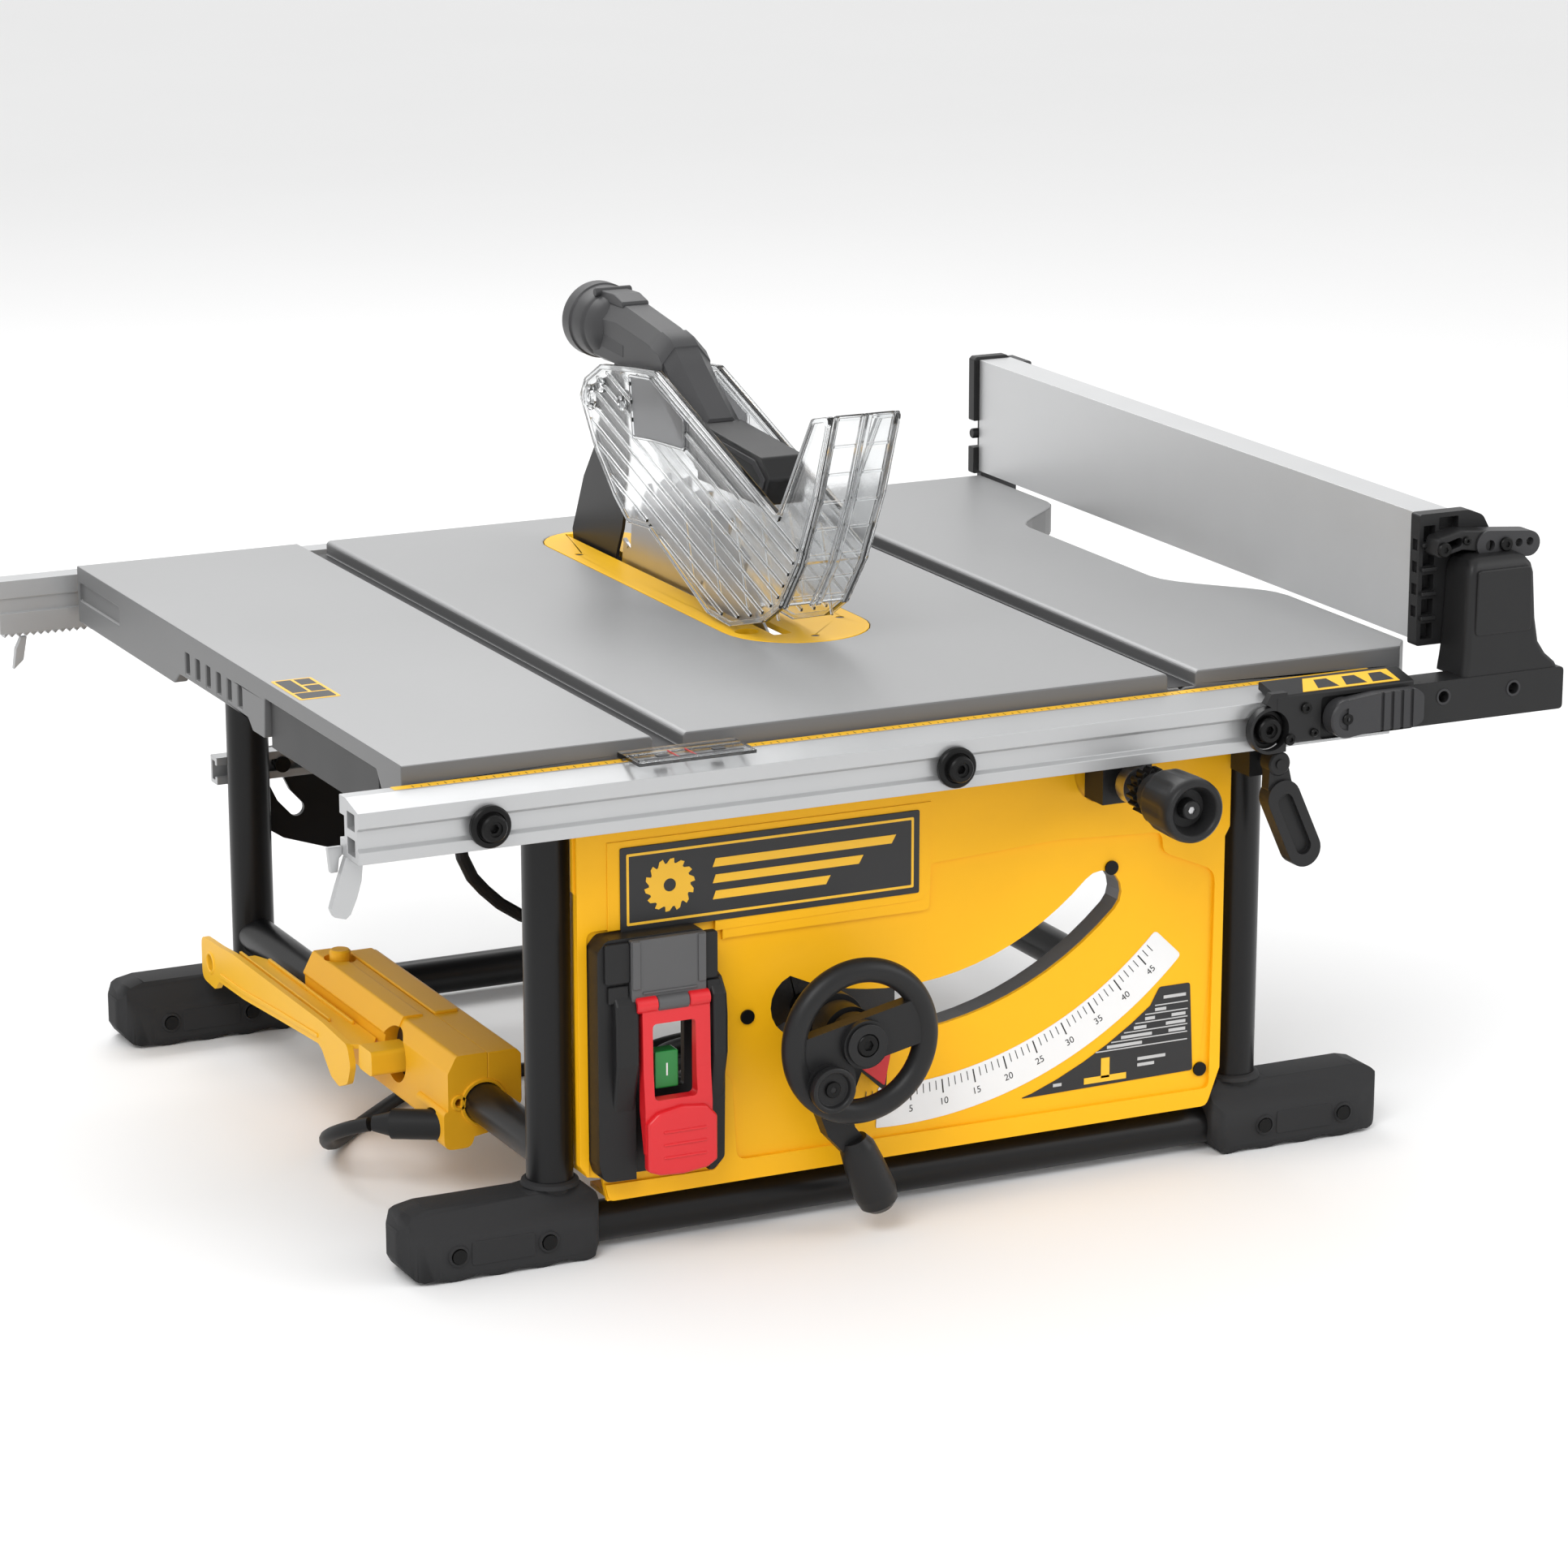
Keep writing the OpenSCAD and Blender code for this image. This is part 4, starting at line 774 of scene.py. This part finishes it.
def inset(outline, amount):
    """The outline moved inwards by amount; its corners run counterclockwise."""
    made = []
    for i, p in enumerate(outline):
        a, b, c = Vector(outline[i - 1]), Vector(p), Vector(outline[(i + 1) % len(outline)])
        before, after = (b - a).normalized(), (c - b).normalized()
        sideways = Vector((-(before.y + after.y), before.x + after.x))
        reach = amount / max(0.35, sideways.length / 2)
        made.append(tuple(b + sideways.normalized() * reach))
    return made


def crossings(outline, start, direction):
    """How far along direction from start a line enters and leaves the outline."""
    found = []
    for p, q in zip(outline, outline[1:] + outline[:1]):
        e = Vector(q) - Vector(p)
        side = direction.x * e.y - direction.y * e.x
        if abs(side) > 1e-9:
            gap = Vector(p) - start
            share = (gap.x * direction.y - gap.y * direction.x) / side
            if 0 <= share < 1:
                found.append((gap.x * e.y - gap.y * e.x) / side)
    return sorted(found)


def ribs_across(outline, start, angle, step, count, half, margin):
    """Thin bars at an angle, step apart, cut to the outline."""
    along, across = Vector((cos(angle), sin(angle))), Vector((sin(angle), -cos(angle)))
    bars = []
    for i in range(count):
        base = Vector(start) + across * step * i
        ends = crossings(outline, base, along)
        for near, far in zip(ends[::2], ends[1::2]):
            if far - near > 2 * margin + 6:
                a, b = base + along * (near + margin), base + along * (far - margin)
                bars.append([tuple(p)
                             for p in (a - across * half, b - across * half, b + across * half,
                                       a + across * half)])
    return bars


def make_shield(side, body, face, out):
    """A clear side of the guard: face is its outer surface and out the way it looks, -1 or 1."""
    name = f"shield_{side}"
    outline = rounded(SHIELD, [3, 3, 6, 4, 6, 6, 8, 4, 5, 6, 6, 4, 6, 6, 6, 6, 6, 6], 3)
    low, high = sorted((face, face - 3 * out))
    plate = prism(name + "_plate", outline, "x", low, high)
    plate = cut(plate, rod("a", 3.1, 6, (low - 1, *HINGE), (1, 0, 0)))
    piece(plate, body, "clear", width=0.5, segments=2, replaces=(name,))
    outer = sorted((face + 0.03 * out, face + 2.2 * out))
    edge = prism(name + "_edge", outline, "x", *outer)
    edge = cut(edge, prism("a", rounded(inset(SHIELD, 3.2), 3, 3), "x", outer[0] - 1, outer[1] + 1),
               rod("b", 9, 8, (outer[0] - 3, *HINGE), (1, 0, 0)))
    piece(edge, body, "clear", width=0.5)
    hollow = inset(SHIELD, 4)
    bars = ribs_across(hollow, (330, 466), 18.5, 10.4, 12, 1.15, 2)
    window = [(372, 464), (338, 467), (286, 450), (286, 429), (338, 426), (366, 423)]
    kept = [bar for bar in bars if not (bar[0][0] > 400 and bar[1][0] > 400)]
    ribs = prisms(name + "_ribs", kept, "x", *sorted((face + 0.03 * out, face + 1.7 * out)))
    ribs = cut(ribs, prism("a", window, "x", face - 4, face + 4),
               prism("b", circle(*HINGE, 11), "x", face - 4, face + 4))
    piece(ribs, body, "clear", width=0.35, segments=1)
    cross = [[(a - 0.9, 345), (a + 0.9, 345), (a + 18.9, 400), (a + 17.1, 400)]
             for a in (160, 200, 240, 280)]
    cross = prisms(name + "_cross_ribs", cross, "x", *sorted((face - 3.03 * out, face - 4.6 * out)))
    piece(cross, body, "clear", width=0.35, segments=1)
    shade = prism(name + "_window", rounded(inset(window, 1.5), 2), "x",
                  *sorted((face + 0.05 * out, face + 0.9 * out)))
    piece(shade, body, "smoke", width=0.2)
    frame_of = prism(name + "_window_frame", rounded(window, 2), "x",
                     *sorted((face + 0.05 * out, face + 1.9 * out)))
    frame_of = cut(frame_of, prism("a", rounded(inset(window, 1.6), 1.5), "x", face - 4, face + 4))
    piece(frame_of, body, "clear", width=0.3)
    for i, (y, z, r) in enumerate(((*HINGE, 8.5), (418, 449, 5), (384, 443, 5.4))):
        disc = [(0, 3.2 if i == 0 else 0), (0, r), (1.4, r), (2.6, r - 1.2), (2.8, r - 2.6), (1.8, r - 3),
                (1.8, 3.2 if i == 0 else 0)]
        part = lathe(f"{name}_disc_{i}", disc, (face + 0.04 * out, y, z), (out, 0, 0), ring=i == 0)
        piece(part, body, "clear")
    # front wall, its thick sides and the cross bars between its cells
    inner, outer_x = BLADE_X + 0.6 * out, face
    wall = [*HORN, (151, 358.5), (125, 390), (101, 435), (80.5, 487.3)]
    wall_from = sorted((inner, outer_x - 3.05 * out))
    piece(prism(name + "_front", rounded(wall, [1, 0, 6, 2, 2, 6, 0, 1]), "x", *wall_from), body, "clear",
          width=0.8, segments=3)
    strip = [(p[0] - 2.1, p[1] - 0.5) for p in HORN] + [(p[0] - 0.06, p[1]) for p in HORN[::-1]]
    for part, a in (("inner", inner), ("outer", face - 3.6 * out)):
        piece(prism(f"{name}_front_{part}", strip, "x", *sorted((a, a + 3.2 * out))), body, "clear",
              width=0.5)
    bars = []
    for (ya, za), (yb, zb), shares in ((HORN[0], HORN[1], (0.03, 0.36, 0.7)),
                                       (HORN[1], HORN[2], (0.05, 0.45, 0.85)),
                                       (HORN[2], HORN[3], (0.3, 0.75))):
        for share in shares:
            y, z = ya + (yb - ya) * share, za + (zb - za) * share
            bars.append([(y - 1.9, z), (y - 0.05, z), (y + 0.35, z - 1.8), (y - 1.5, z - 1.8)])
    piece(prisms(name + "_front_bars", bars, "x", *sorted((inner + 3.4 * out, face - 3.8 * out))), body,
          "clear", width=0.3)


make_duct()
make_shield("left", "shield_l", 311.3, -1)
make_shield("right", "shield_r", 355.7, 1)

# ---------- rails and fence ----------


def make_rail_prints():
    """The yellow measuring strip on the front rail, and the window with its red lines."""
    piece(prism("rail_strip", box(-8, -9.5, 640, -3.1), "z", 316, 316.25), "rails", "print")
    ticks = []
    for n in range(0, 126):
        x = 4 + 5 * n
        ticks.append(box(x - 0.25, -9.4, x + 0.25, -7.2 if n % 2 else -5.4))
    piece(prisms("rail_strip_marks", ticks, "z", 316.25, 316.32), "rails", "ink")
    rims = [box(135, -30, 208, -28.6, 0.5), box(135, -11.4, 208, -10, 0.5), box(135, -28, 136.4, -12, 0.5),
            box(206.6, -28, 208, -12, 0.5)]
    piece(prisms("cursor_rims", rims, "z", 320, 320.9), "base", "clear", width=0.2)
    piece(prisms("cursor_plate",
                 [box(140, -27, 203, -24.4, 1), box(150, -21.5, 158, -17, 1), box(186, -21.5, 194, -17, 1)],
                 "z", 320, 320.5), "base", "ink")
    piece(prisms("cursor_lines", [box(171.8, -27, 172.3, -11), box(160.8, -27, 161.3, -11)], "z", 320.1,
                 320.6), "base", "red")


def screw(name, x, y, z, r, body, kind="bolt", deep=2.4):
    """A round head that looks forward, with a six sided socket."""
    head = lathe(name, [(0, 0), (0, r - 0.6), (0.6, r), (deep, r), (deep, 0)], (x, y - deep, z))
    head = cut(head, prism("a", circle(x, z, r * 0.45, 6), "y", y - deep - 1, y - deep + 1.2))
    return piece(head, body, kind, width=0.2)


def make_carrier():
    shoe = prism("carrier_shoe",
                 rounded([(-42, 285), (-42, 316), (-22, 320.4), (-19, 320.4), (-19, 315.6), (-33, 312),
                          (-33, 285)], [3, 2, 1, 1, 0.5, 0.5, 0]), "x", 553, 650)
    arm = prism("a", box(640, 286, 760, 313, 3), "y", -41.6, -20)
    ear = prism("b",
                [*circle(RAIL_BOLTS_X[2], RAIL_BOLT_Z, 14.6, 20, 90, 270), (560, 281), (560, 318),
                 (549, 318), (545, 312)], "y", -41.8, -36.4)
    carrier = fuse(shoe, arm, ear)
    holes = [rod(f"h{x}", 3.5, 30, (x, -45, 303)) for x in (672, 723)]
    bolt_hole = rod("c", 12.6, 14, (RAIL_BOLTS_X[2], -45, RAIL_BOLT_Z))
    bay = prism("d", box(584, 285.5, 645, 312.5, 3), "y", -46, -38)
    carrier = cut(carrier, *holes, bolt_hole, bay)
    piece(carrier, "rails", "black", width=1.3, segments=3, replaces=("fence_carrier",))
    for x in (672, 723):
        ring = lathe(f"carrier_hole_{x}", [(0, 3.6), (0, 5.2), (0.7, 5), (0.7, 3.8)], (x, -41.5, 303),
                     (0, -1, 0), ring=True)
        piece(ring, "rails", "dark")
    screw("carrier_screw_0", 573, -41.9, 307, 3.4, "rails")
    screw("carrier_screw_1", 562, -41.9, 288.5, 3.6, "rails")
    screw("carrier_screw_2", 579, -41.9, 291, 2.6, "rails")
    levels = [(312.5, 686, 757, -41, -10.1), (316, 686.4, 755, -41, -10.1), (322, 687.4, 748, -40.6, -10.1),
              (330, 688.4, 743, -39.6, -10.1), (345, 689.4, 740.6, -38.8, -10.1),
              (374, 690.6, 738.6, -38.2, -10.1), (380, 691.6, 737, -37.4, -10.4),
              (384.5, 694, 733.6, -34.8, -12), (386.6, 698, 729, -31, -14)]
    tower = loft("carrier_tower",
                 [[(x, y, z) for x, y in rounded([(x0, y0), (x1, y0), (x1, y1), (x0, y1)], [5, 5, 2, 2], 5)]
                  for z, x0, x1, y0, y1 in levels])
    piece(tower, "rails", "black", width=0.8, segments=2)
    piece(prism("carrier_tower_panel", rounded([(695, 338), (736, 338), (734.6, 379), (696, 379)], 3), "y",
                -39.9, -37), "rails", "black", width=0.8, segments=3)
    slope = 4.4 / 20
    label = [(572, -40), (641, -40), (641, -24), (581, -24)]
    skin = [(x, y, 316 + (y + 42) * slope + up) for up in (0.02, 0.3) for x, y in label]
    piece(loft("carrier_label", [skin[:4], skin[4:]]), "rails", "print")
    marks = [[(a, -38), (a + 15, -38), (a + 12, -27), (a + 3, -27)] for a in (584, 604, 623)]
    for i, mark in enumerate(marks):
        flat = [[(x, y, 316 + (y + 42) * slope + up) for x, y in mark] for up in (0.31, 0.4)]
        piece(loft(f"carrier_label_mark_{i}", flat), "rails", "ink")


def make_latch():
    grip = prism("fence_latch_grip",
                 rounded([(598, 287.5), (612, 289), (646, 289.5), (652, 292), (652, 309), (647, 313),
                          (618, 313), (598, 311)], [1, 2, 2, 4, 5, 4, 3, 1]), "y", -51.4, -43)
    ribs = [prism(f"r{i}", box(621 + 7 * i, 286, 623.4 + 7 * i, 316), "y", -53, -49.9) for i in range(4)]
    hub = lathe("h", [(0, 0), (0, 11), (1.2, 12), (11, 12), (12, 11), (12, 7), (10.6, 6.4), (10.6, 0)],
                (598, -39.4, 299), (0, -1, 0))
    piece(fuse(cut(grip, *ribs), hub), "front_latch", "dark", width=0.9, segments=3,
          replaces=("fence_latch_lever",))
    screw("fence_latch_screw", 598, -50.2, 299, 3.6, "front_latch", deep=1.6)


def make_link_bar():
    left = prism("link_bar_left",
                 rounded([(674, 385), (694, 389.5), (714, 386), (714, 399.5), (694, 401.5), (676, 398)],
                         [4, 5, 3, 3, 5, 4]), "y", -24, -10.2)
    left = cut(left, prism("a", link_outline((683, 392.4), (691, 394.6), 2.6, 2.6, 8), "y", -26, -8))
    piece(left, "rails", "black", width=1.2, segments=3, replaces=("fence_link_bar",))
    right = prism("link_bar_right", link_outline((712, 391.5), (741.5, 389.5), 8.6, 8), "y", -25.4, -12)
    right = cut(right,
                *[prism(f"a{x}", circle(x, 390.8, r, 20), "y", -28, -8)
                  for x, r in ((713, 3.4), (734, 2.6), (742, 2.6))])
    piece(right, "rails", "dark", width=1.2, segments=3)
    screw("link_bar_screw", 724, -25.4, 390.8, 4.4, "rails")
    screw("link_bar_pin", 696, -24, 395.2, 2.6, "rails")
    screw("link_bar_bolt", 680, -24, 391, 4.6, "rails")


def make_fence_caps():
    front = prism("fence_cap_front",
                  rounded([(671, 328), (700, 328), (700, 381), (722, 381), (722, 398), (717, 407),
                           (707, 411), (671, 411)], [2, 2, 0, 3, 8, 8, 8, 2]), "y", -10, 0)
    pockets = [prism(f"p{i}", box(674, 332 + 15.4 * i, 682.4, 342 + 15.4 * i, 0.6), "y", -12, -3)
               for i in range(5)]
    pockets += [prism(f"q{i}", box(-8, 346 + 14 * i, -2.6, 353 + 14 * i), "x", 668, 673) for i in range(4)]
    pockets.append(prism("r", box(685, 400, 699, 408, 1), "y", -12, -4))
    piece(cut(front, *pockets), "rails", "black", width=0.8, replaces=("fence_end_caps",))
    hooks = [box(672.4, 344.4 + 15.4 * i, 683, 347 + 15.4 * i, 0.8) for i in range(4)]
    piece(prisms("fence_cap_hooks", hooks, "y", -13, -9), "rails", "black", width=0.5)
    rear = prism("fence_cap_rear",
                 rounded([(671, 328), (702, 328), (702, 408), (697, 412), (673, 412), (671, 410)], 1.5),
                 "y", 577, 586)
    rear = cut(rear, prism("n", box(668, 347, 680, 366), "y", 574, 594))
    piece(rear, "rails", "black", width=0.8)
    piece(lathe("fence_cap_pin", [(0, 0), (0, 3), (0.8, 3.6), (9.6, 3.6), (9.6, 0)], (671.4, 581.5, 356.5),
                (1, 0, 0)), "rails", "black")


make_rail_prints()
make_carrier()
make_latch()
make_link_bar()
make_fence_caps()

# ---------- feet ----------


def make_boots():
    """Rubber feet, longer and rounder outside the legs, with lobes underneath."""
    wave = [(-14 + 4 * i, 1.5 - 1.5 * cos(360 * i / 7)) for i in range(27)]
    side = [(-24, 10), (-19, 2), *wave, (95, 3), (103, 14), (103, 32), (95, 41), (84, 44), (20, 44),
            (8, 46.5), (-16, 46.5), (-24, 40)]
    side = rounded(side, [4, 3, *[0] * 27, 4, 6, 6, 5, 5, 3, 4, 4, 4], 4)
    plan = rounded([(-24, -18), (-18, -24), (82, -24), (96, -18.5), (103, -8), (103, 8), (96, 18.5),
                    (82, 24), (-18, 24), (-24, 18)], [3, 4, 12, 9, 6, 6, 9, 12, 4, 3], 5)
    ends = [(-21, -1), (-24, 6), (-24, 28), (-14, 41), (-10, 47), (10, 47), (14, 41), (24, 28), (24, 6),
            (21, -1)]
    for i, (x, out) in enumerate(((108.4, -1), (580.7, 1))):
        for j, y in enumerate((48, 556.4)):
            body = prism(f"foot_boot_{i}{j}", [(x + out * u, v) for u, v in side], "y", y - 24, y + 24)
            cap = prism("a", [(x + out * u, y + v) for u, v in plan], "z", -1, 60)
            body = combine(body, [cap, prism("b", [(y + u, v) for u, v in ends], "x", x - 130, x + 130)],
                           "INTERSECT")
            edge = body.modifiers.new("edge", "BEVEL")
            edge.width, edge.segments, edge.angle_limit = 2.6 * MM, 4, math.radians(24)
            settle(body, [])
            body = cut(body, rod("l", 14.2, 60, (x, y, 3), (0, 0, 1)),
                       rod("t", 12.7, 30, (x, y, 16), (-out, 0, 0)))
            body.data.shade_smooth()
            body.data.set_sharp_from_angle(angle=math.radians(40))
            piece(body, "base", "boot", replaces=("foot_boots",) if i + j == 0 else ())
            collar = lathe(f"foot_collar_{i}{j}",
                           [(0, 14.3), (0, 18), (2.4, 17.2), (3.4, 15.2), (3.4, 14.3)], (x, y, 45.5),
                           (0, 0, 1), ring=True)
            piece(collar, "base", "boot")
            for k, u in enumerate((11.4, 69.4)):
                ring = lathe(f"foot_ring_{i}{j}{k}", [(0, 4.7), (0, 7), (1.2, 6.4), (1.4, 5), (0.6, 4.7)],
                             (x + out * u, y - 24, 17), (0, -1, 0), ring=True)
                piece(ring, "base", "boot")
            back = rounded([(20, 9.5), (61, 9.5), (61, 24.5), (20, 24.5)], 2)
            panel = prism(f"foot_panel_{i}{j}", [(x + out * u, v) for u, v in back], "y", y - 24.5, y - 23)
            piece(panel, "base", "boot", width=0.4)


make_boots()

# ---------- push stick, its holder and the table's blank label ----------


def make_stick():
    plate = rounded([(531, 76), (531, 46), (505, 44.5), (498, 52), (450, 53), (380, 58), (312, 62.5),
                     (306, 60), (291, 47), (277, 44), (262, 50), (256, 63), (261, 76), (306, 79), (470, 79),
                     (497, 77)], [7, 8, 7, 4, 8, 8, 6, 4, 8, 8, 8, 7, 6, 6, 5, 6])
    stick = prism("push_stick_plate", plate, "x", 62, 66)
    eye = rod("a", 5.6, 8, (60, 514, 61), (1, 0, 0))
    web = prism("b", [(66 - 0.5, 470), (66 - 0.5, 262), (78, 256), (84.4, 268), (84.4, 452), (78, 470)],
                "z", 73, 76)
    bar = prism("c", rounded([(250, 64), (228, 64), (228, 80), (250, 80)], 3), "x", 65.5, 92)
    piece(fuse(cut(stick, eye), web, bar), "stick", "stick", width=0.9, segments=3,
          replaces=("push_stick",))
    rim = lathe("push_stick_eye_rim", [(0, 5.8), (0, 8), (0.8, 7.4), (0.8, 6.2)], (62, 514, 61), (-1, 0, 0),
                ring=True)
    piece(rim, "stick", "stick")
    ribs = [[(69, 476), (69, 312), (71, 312), (71, 476)],
            [(80.4, 452), (80.4, 300), (82.4, 300), (82.4, 452)]]
    piece(prisms("push_stick_ribs", ribs, "z", 75.9, 78.4), "stick", "stick", width=0.5)
    ridge = rounded([(494, 56), (450, 57), (380, 62), (312, 66.4), (312, 69), (380, 65), (450, 60),
                     (494, 59)], 1)
    piece(prism("push_stick_ridge", ridge, "x", 61, 62.4), "stick", "stick", width=0.4)


def make_holder():
    left = rounded([(85, 47), (85, 86), (91, 97), (111.3, 97), (111.3, 45), (98, 43), (88, 45)],
                   [4, 3, 3, 0.8, 0.8, 3, 4])
    right = rounded([(111.7, 96.6), (131, 96.6), (134, 93), (134, 62), (122, 48), (111.7, 46)],
                    [0.8, 3, 2, 5, 5, 0.8])
    body = prism("holder_left", left, "y", 150, 395)
    other = prism("holder_right", right, "y", 150, 385)
    lip = prism("a", rounded([(83, 84), (90.6, 98.4), (104, 98.4), (104, 90), (88, 80)], 2), "y", 236, 394)
    tip = prism("b", rounded([(82, 37), (82, 62), (90, 62), (104, 50), (100, 37)], [6, 4, 1, 4, 6]), "y",
                150, 196)
    tools = [rod("t", 12.8, 250, (108.4, 149, 65), (0, 1, 0)),
             rod("u", 18, 24, (70, 237, 74), (1, 0, 0)),
             rod("v", 10.6, 48, (85, 166, 49), PLUG),
             rod("w", 2.4, 22, (92, 148, 67), (0, 1, 0)),
             rod("y", 10.5, 6, (101, 372, 93.6), (0, 0, 1))]
    piece(cut(fuse(body, lip, tip), *tools), "base", "holder", width=1.4, segments=3,
          replaces=("stick_holder",))
    piece(cut(other, rod("t", 12.8, 250, (108.4, 149, 65), (0, 1, 0))), "base", "holder",
          width=1.4, segments=3)
    piece(prism("holder_deck", box(111.5, 236, 128, 384, 2), "z", 96, 98.4), "base", "holder",
          width=0.9, segments=3)
    piece(lathe("holder_peg", [(0, 0), (0, 7), (9.4, 7), (10.6, 5.8), (10.6, 0)], (101, 372, 93.5),
                (0, 0, 1)), "base", "holder")
    piece(rod("holder_socket", 17.8, 0.6, (93.2, 237, 74), (1, 0, 0)), "base", "ink")
    for name, x, z, r in (("tube", 108.4, 65, 13), ("screw", 92, 67, 2.7)):
        rim = lathe(f"holder_rim_{name}", [(0, r), (0, r + 2.6), (1.6, r + 2), (1.6, r + 0.4)],
                    (x, 150.2, z), (0, -1, 0), ring=True)
        piece(rim, "base", "holder")


def make_table_label():
    # painted shade: dark strips on the floors of the two mitre slots stand in for the shade in the slots
    floors = [box(x - 9.3, 0.4, x + 9.3, 575.6) for x in (166.5, 510)]
    piece(prisms("slot_floor_shade", floors, "z", 317.52, 317.7), "base", "dark")
    piece(prism("table_label", box(3, 168, 29, 219, 1.5), "z", 327.02, 327.2), "base", "print")
    marks = [box(5, 170, 27, 184, 1), box(5, 186, 15, 217, 1), box(17, 186, 27, 200), box(17, 203, 27, 217)]
    piece(prisms("table_label_marks", marks, "z", 327.2, 327.26), "base", "ink")


PLUG = (sin(93.3) * cos(140.8), sin(93.3) * sin(140.8), cos(93.3))
make_stick()
make_holder()
make_table_label()

# ---------- stage ----------


def make_stage():
    floor = bpy.data.meshes.new("floor")
    floor.from_pydata([(-40, -40, 0), (40, -40, 0), (40, 40, 0), (-40, 40, 0)], [], [(0, 1, 2, 3)])
    ground = link(bpy.data.objects.new("floor", floor))
    floor.materials.append(finish("pale_floor", (0.9, 0.9, 0.9), 0.7, mottle=0.01, blotch=400, level=0.2))
    world = bpy.data.worlds.new("studio")
    world.use_nodes = True
    world.node_tree.nodes["Background"].inputs["Color"].default_value = (1, 1, 1, 1)
    world.node_tree.nodes["Background"].inputs["Strength"].default_value = 0.9
    bpy.context.scene.world = world
    bpy.context.scene.view_settings.view_transform = "Standard"


def soft_light(name, place, size, power, target=(330, 280, 250)):
    data = bpy.data.lights.new(name, "AREA")
    data.shape = "RECTANGLE"
    data.size, data.size_y = size
    data.energy = power
    lamp = link(bpy.data.objects.new(name, data))
    lamp.location = at(*place)
    lamp.rotation_euler = (at(*target) - lamp.location).to_track_quat("-Z", "Y").to_euler()


make_stage()
soft_light("key", (-1300, -1500, 2300), (1.4, 1.4), 38)
soft_light("fill", (2200, -1200, 1300), (1.6, 1.2), 16)
soft_light("back", (300, 2300, 2200), (2.4, 1.0), 30)
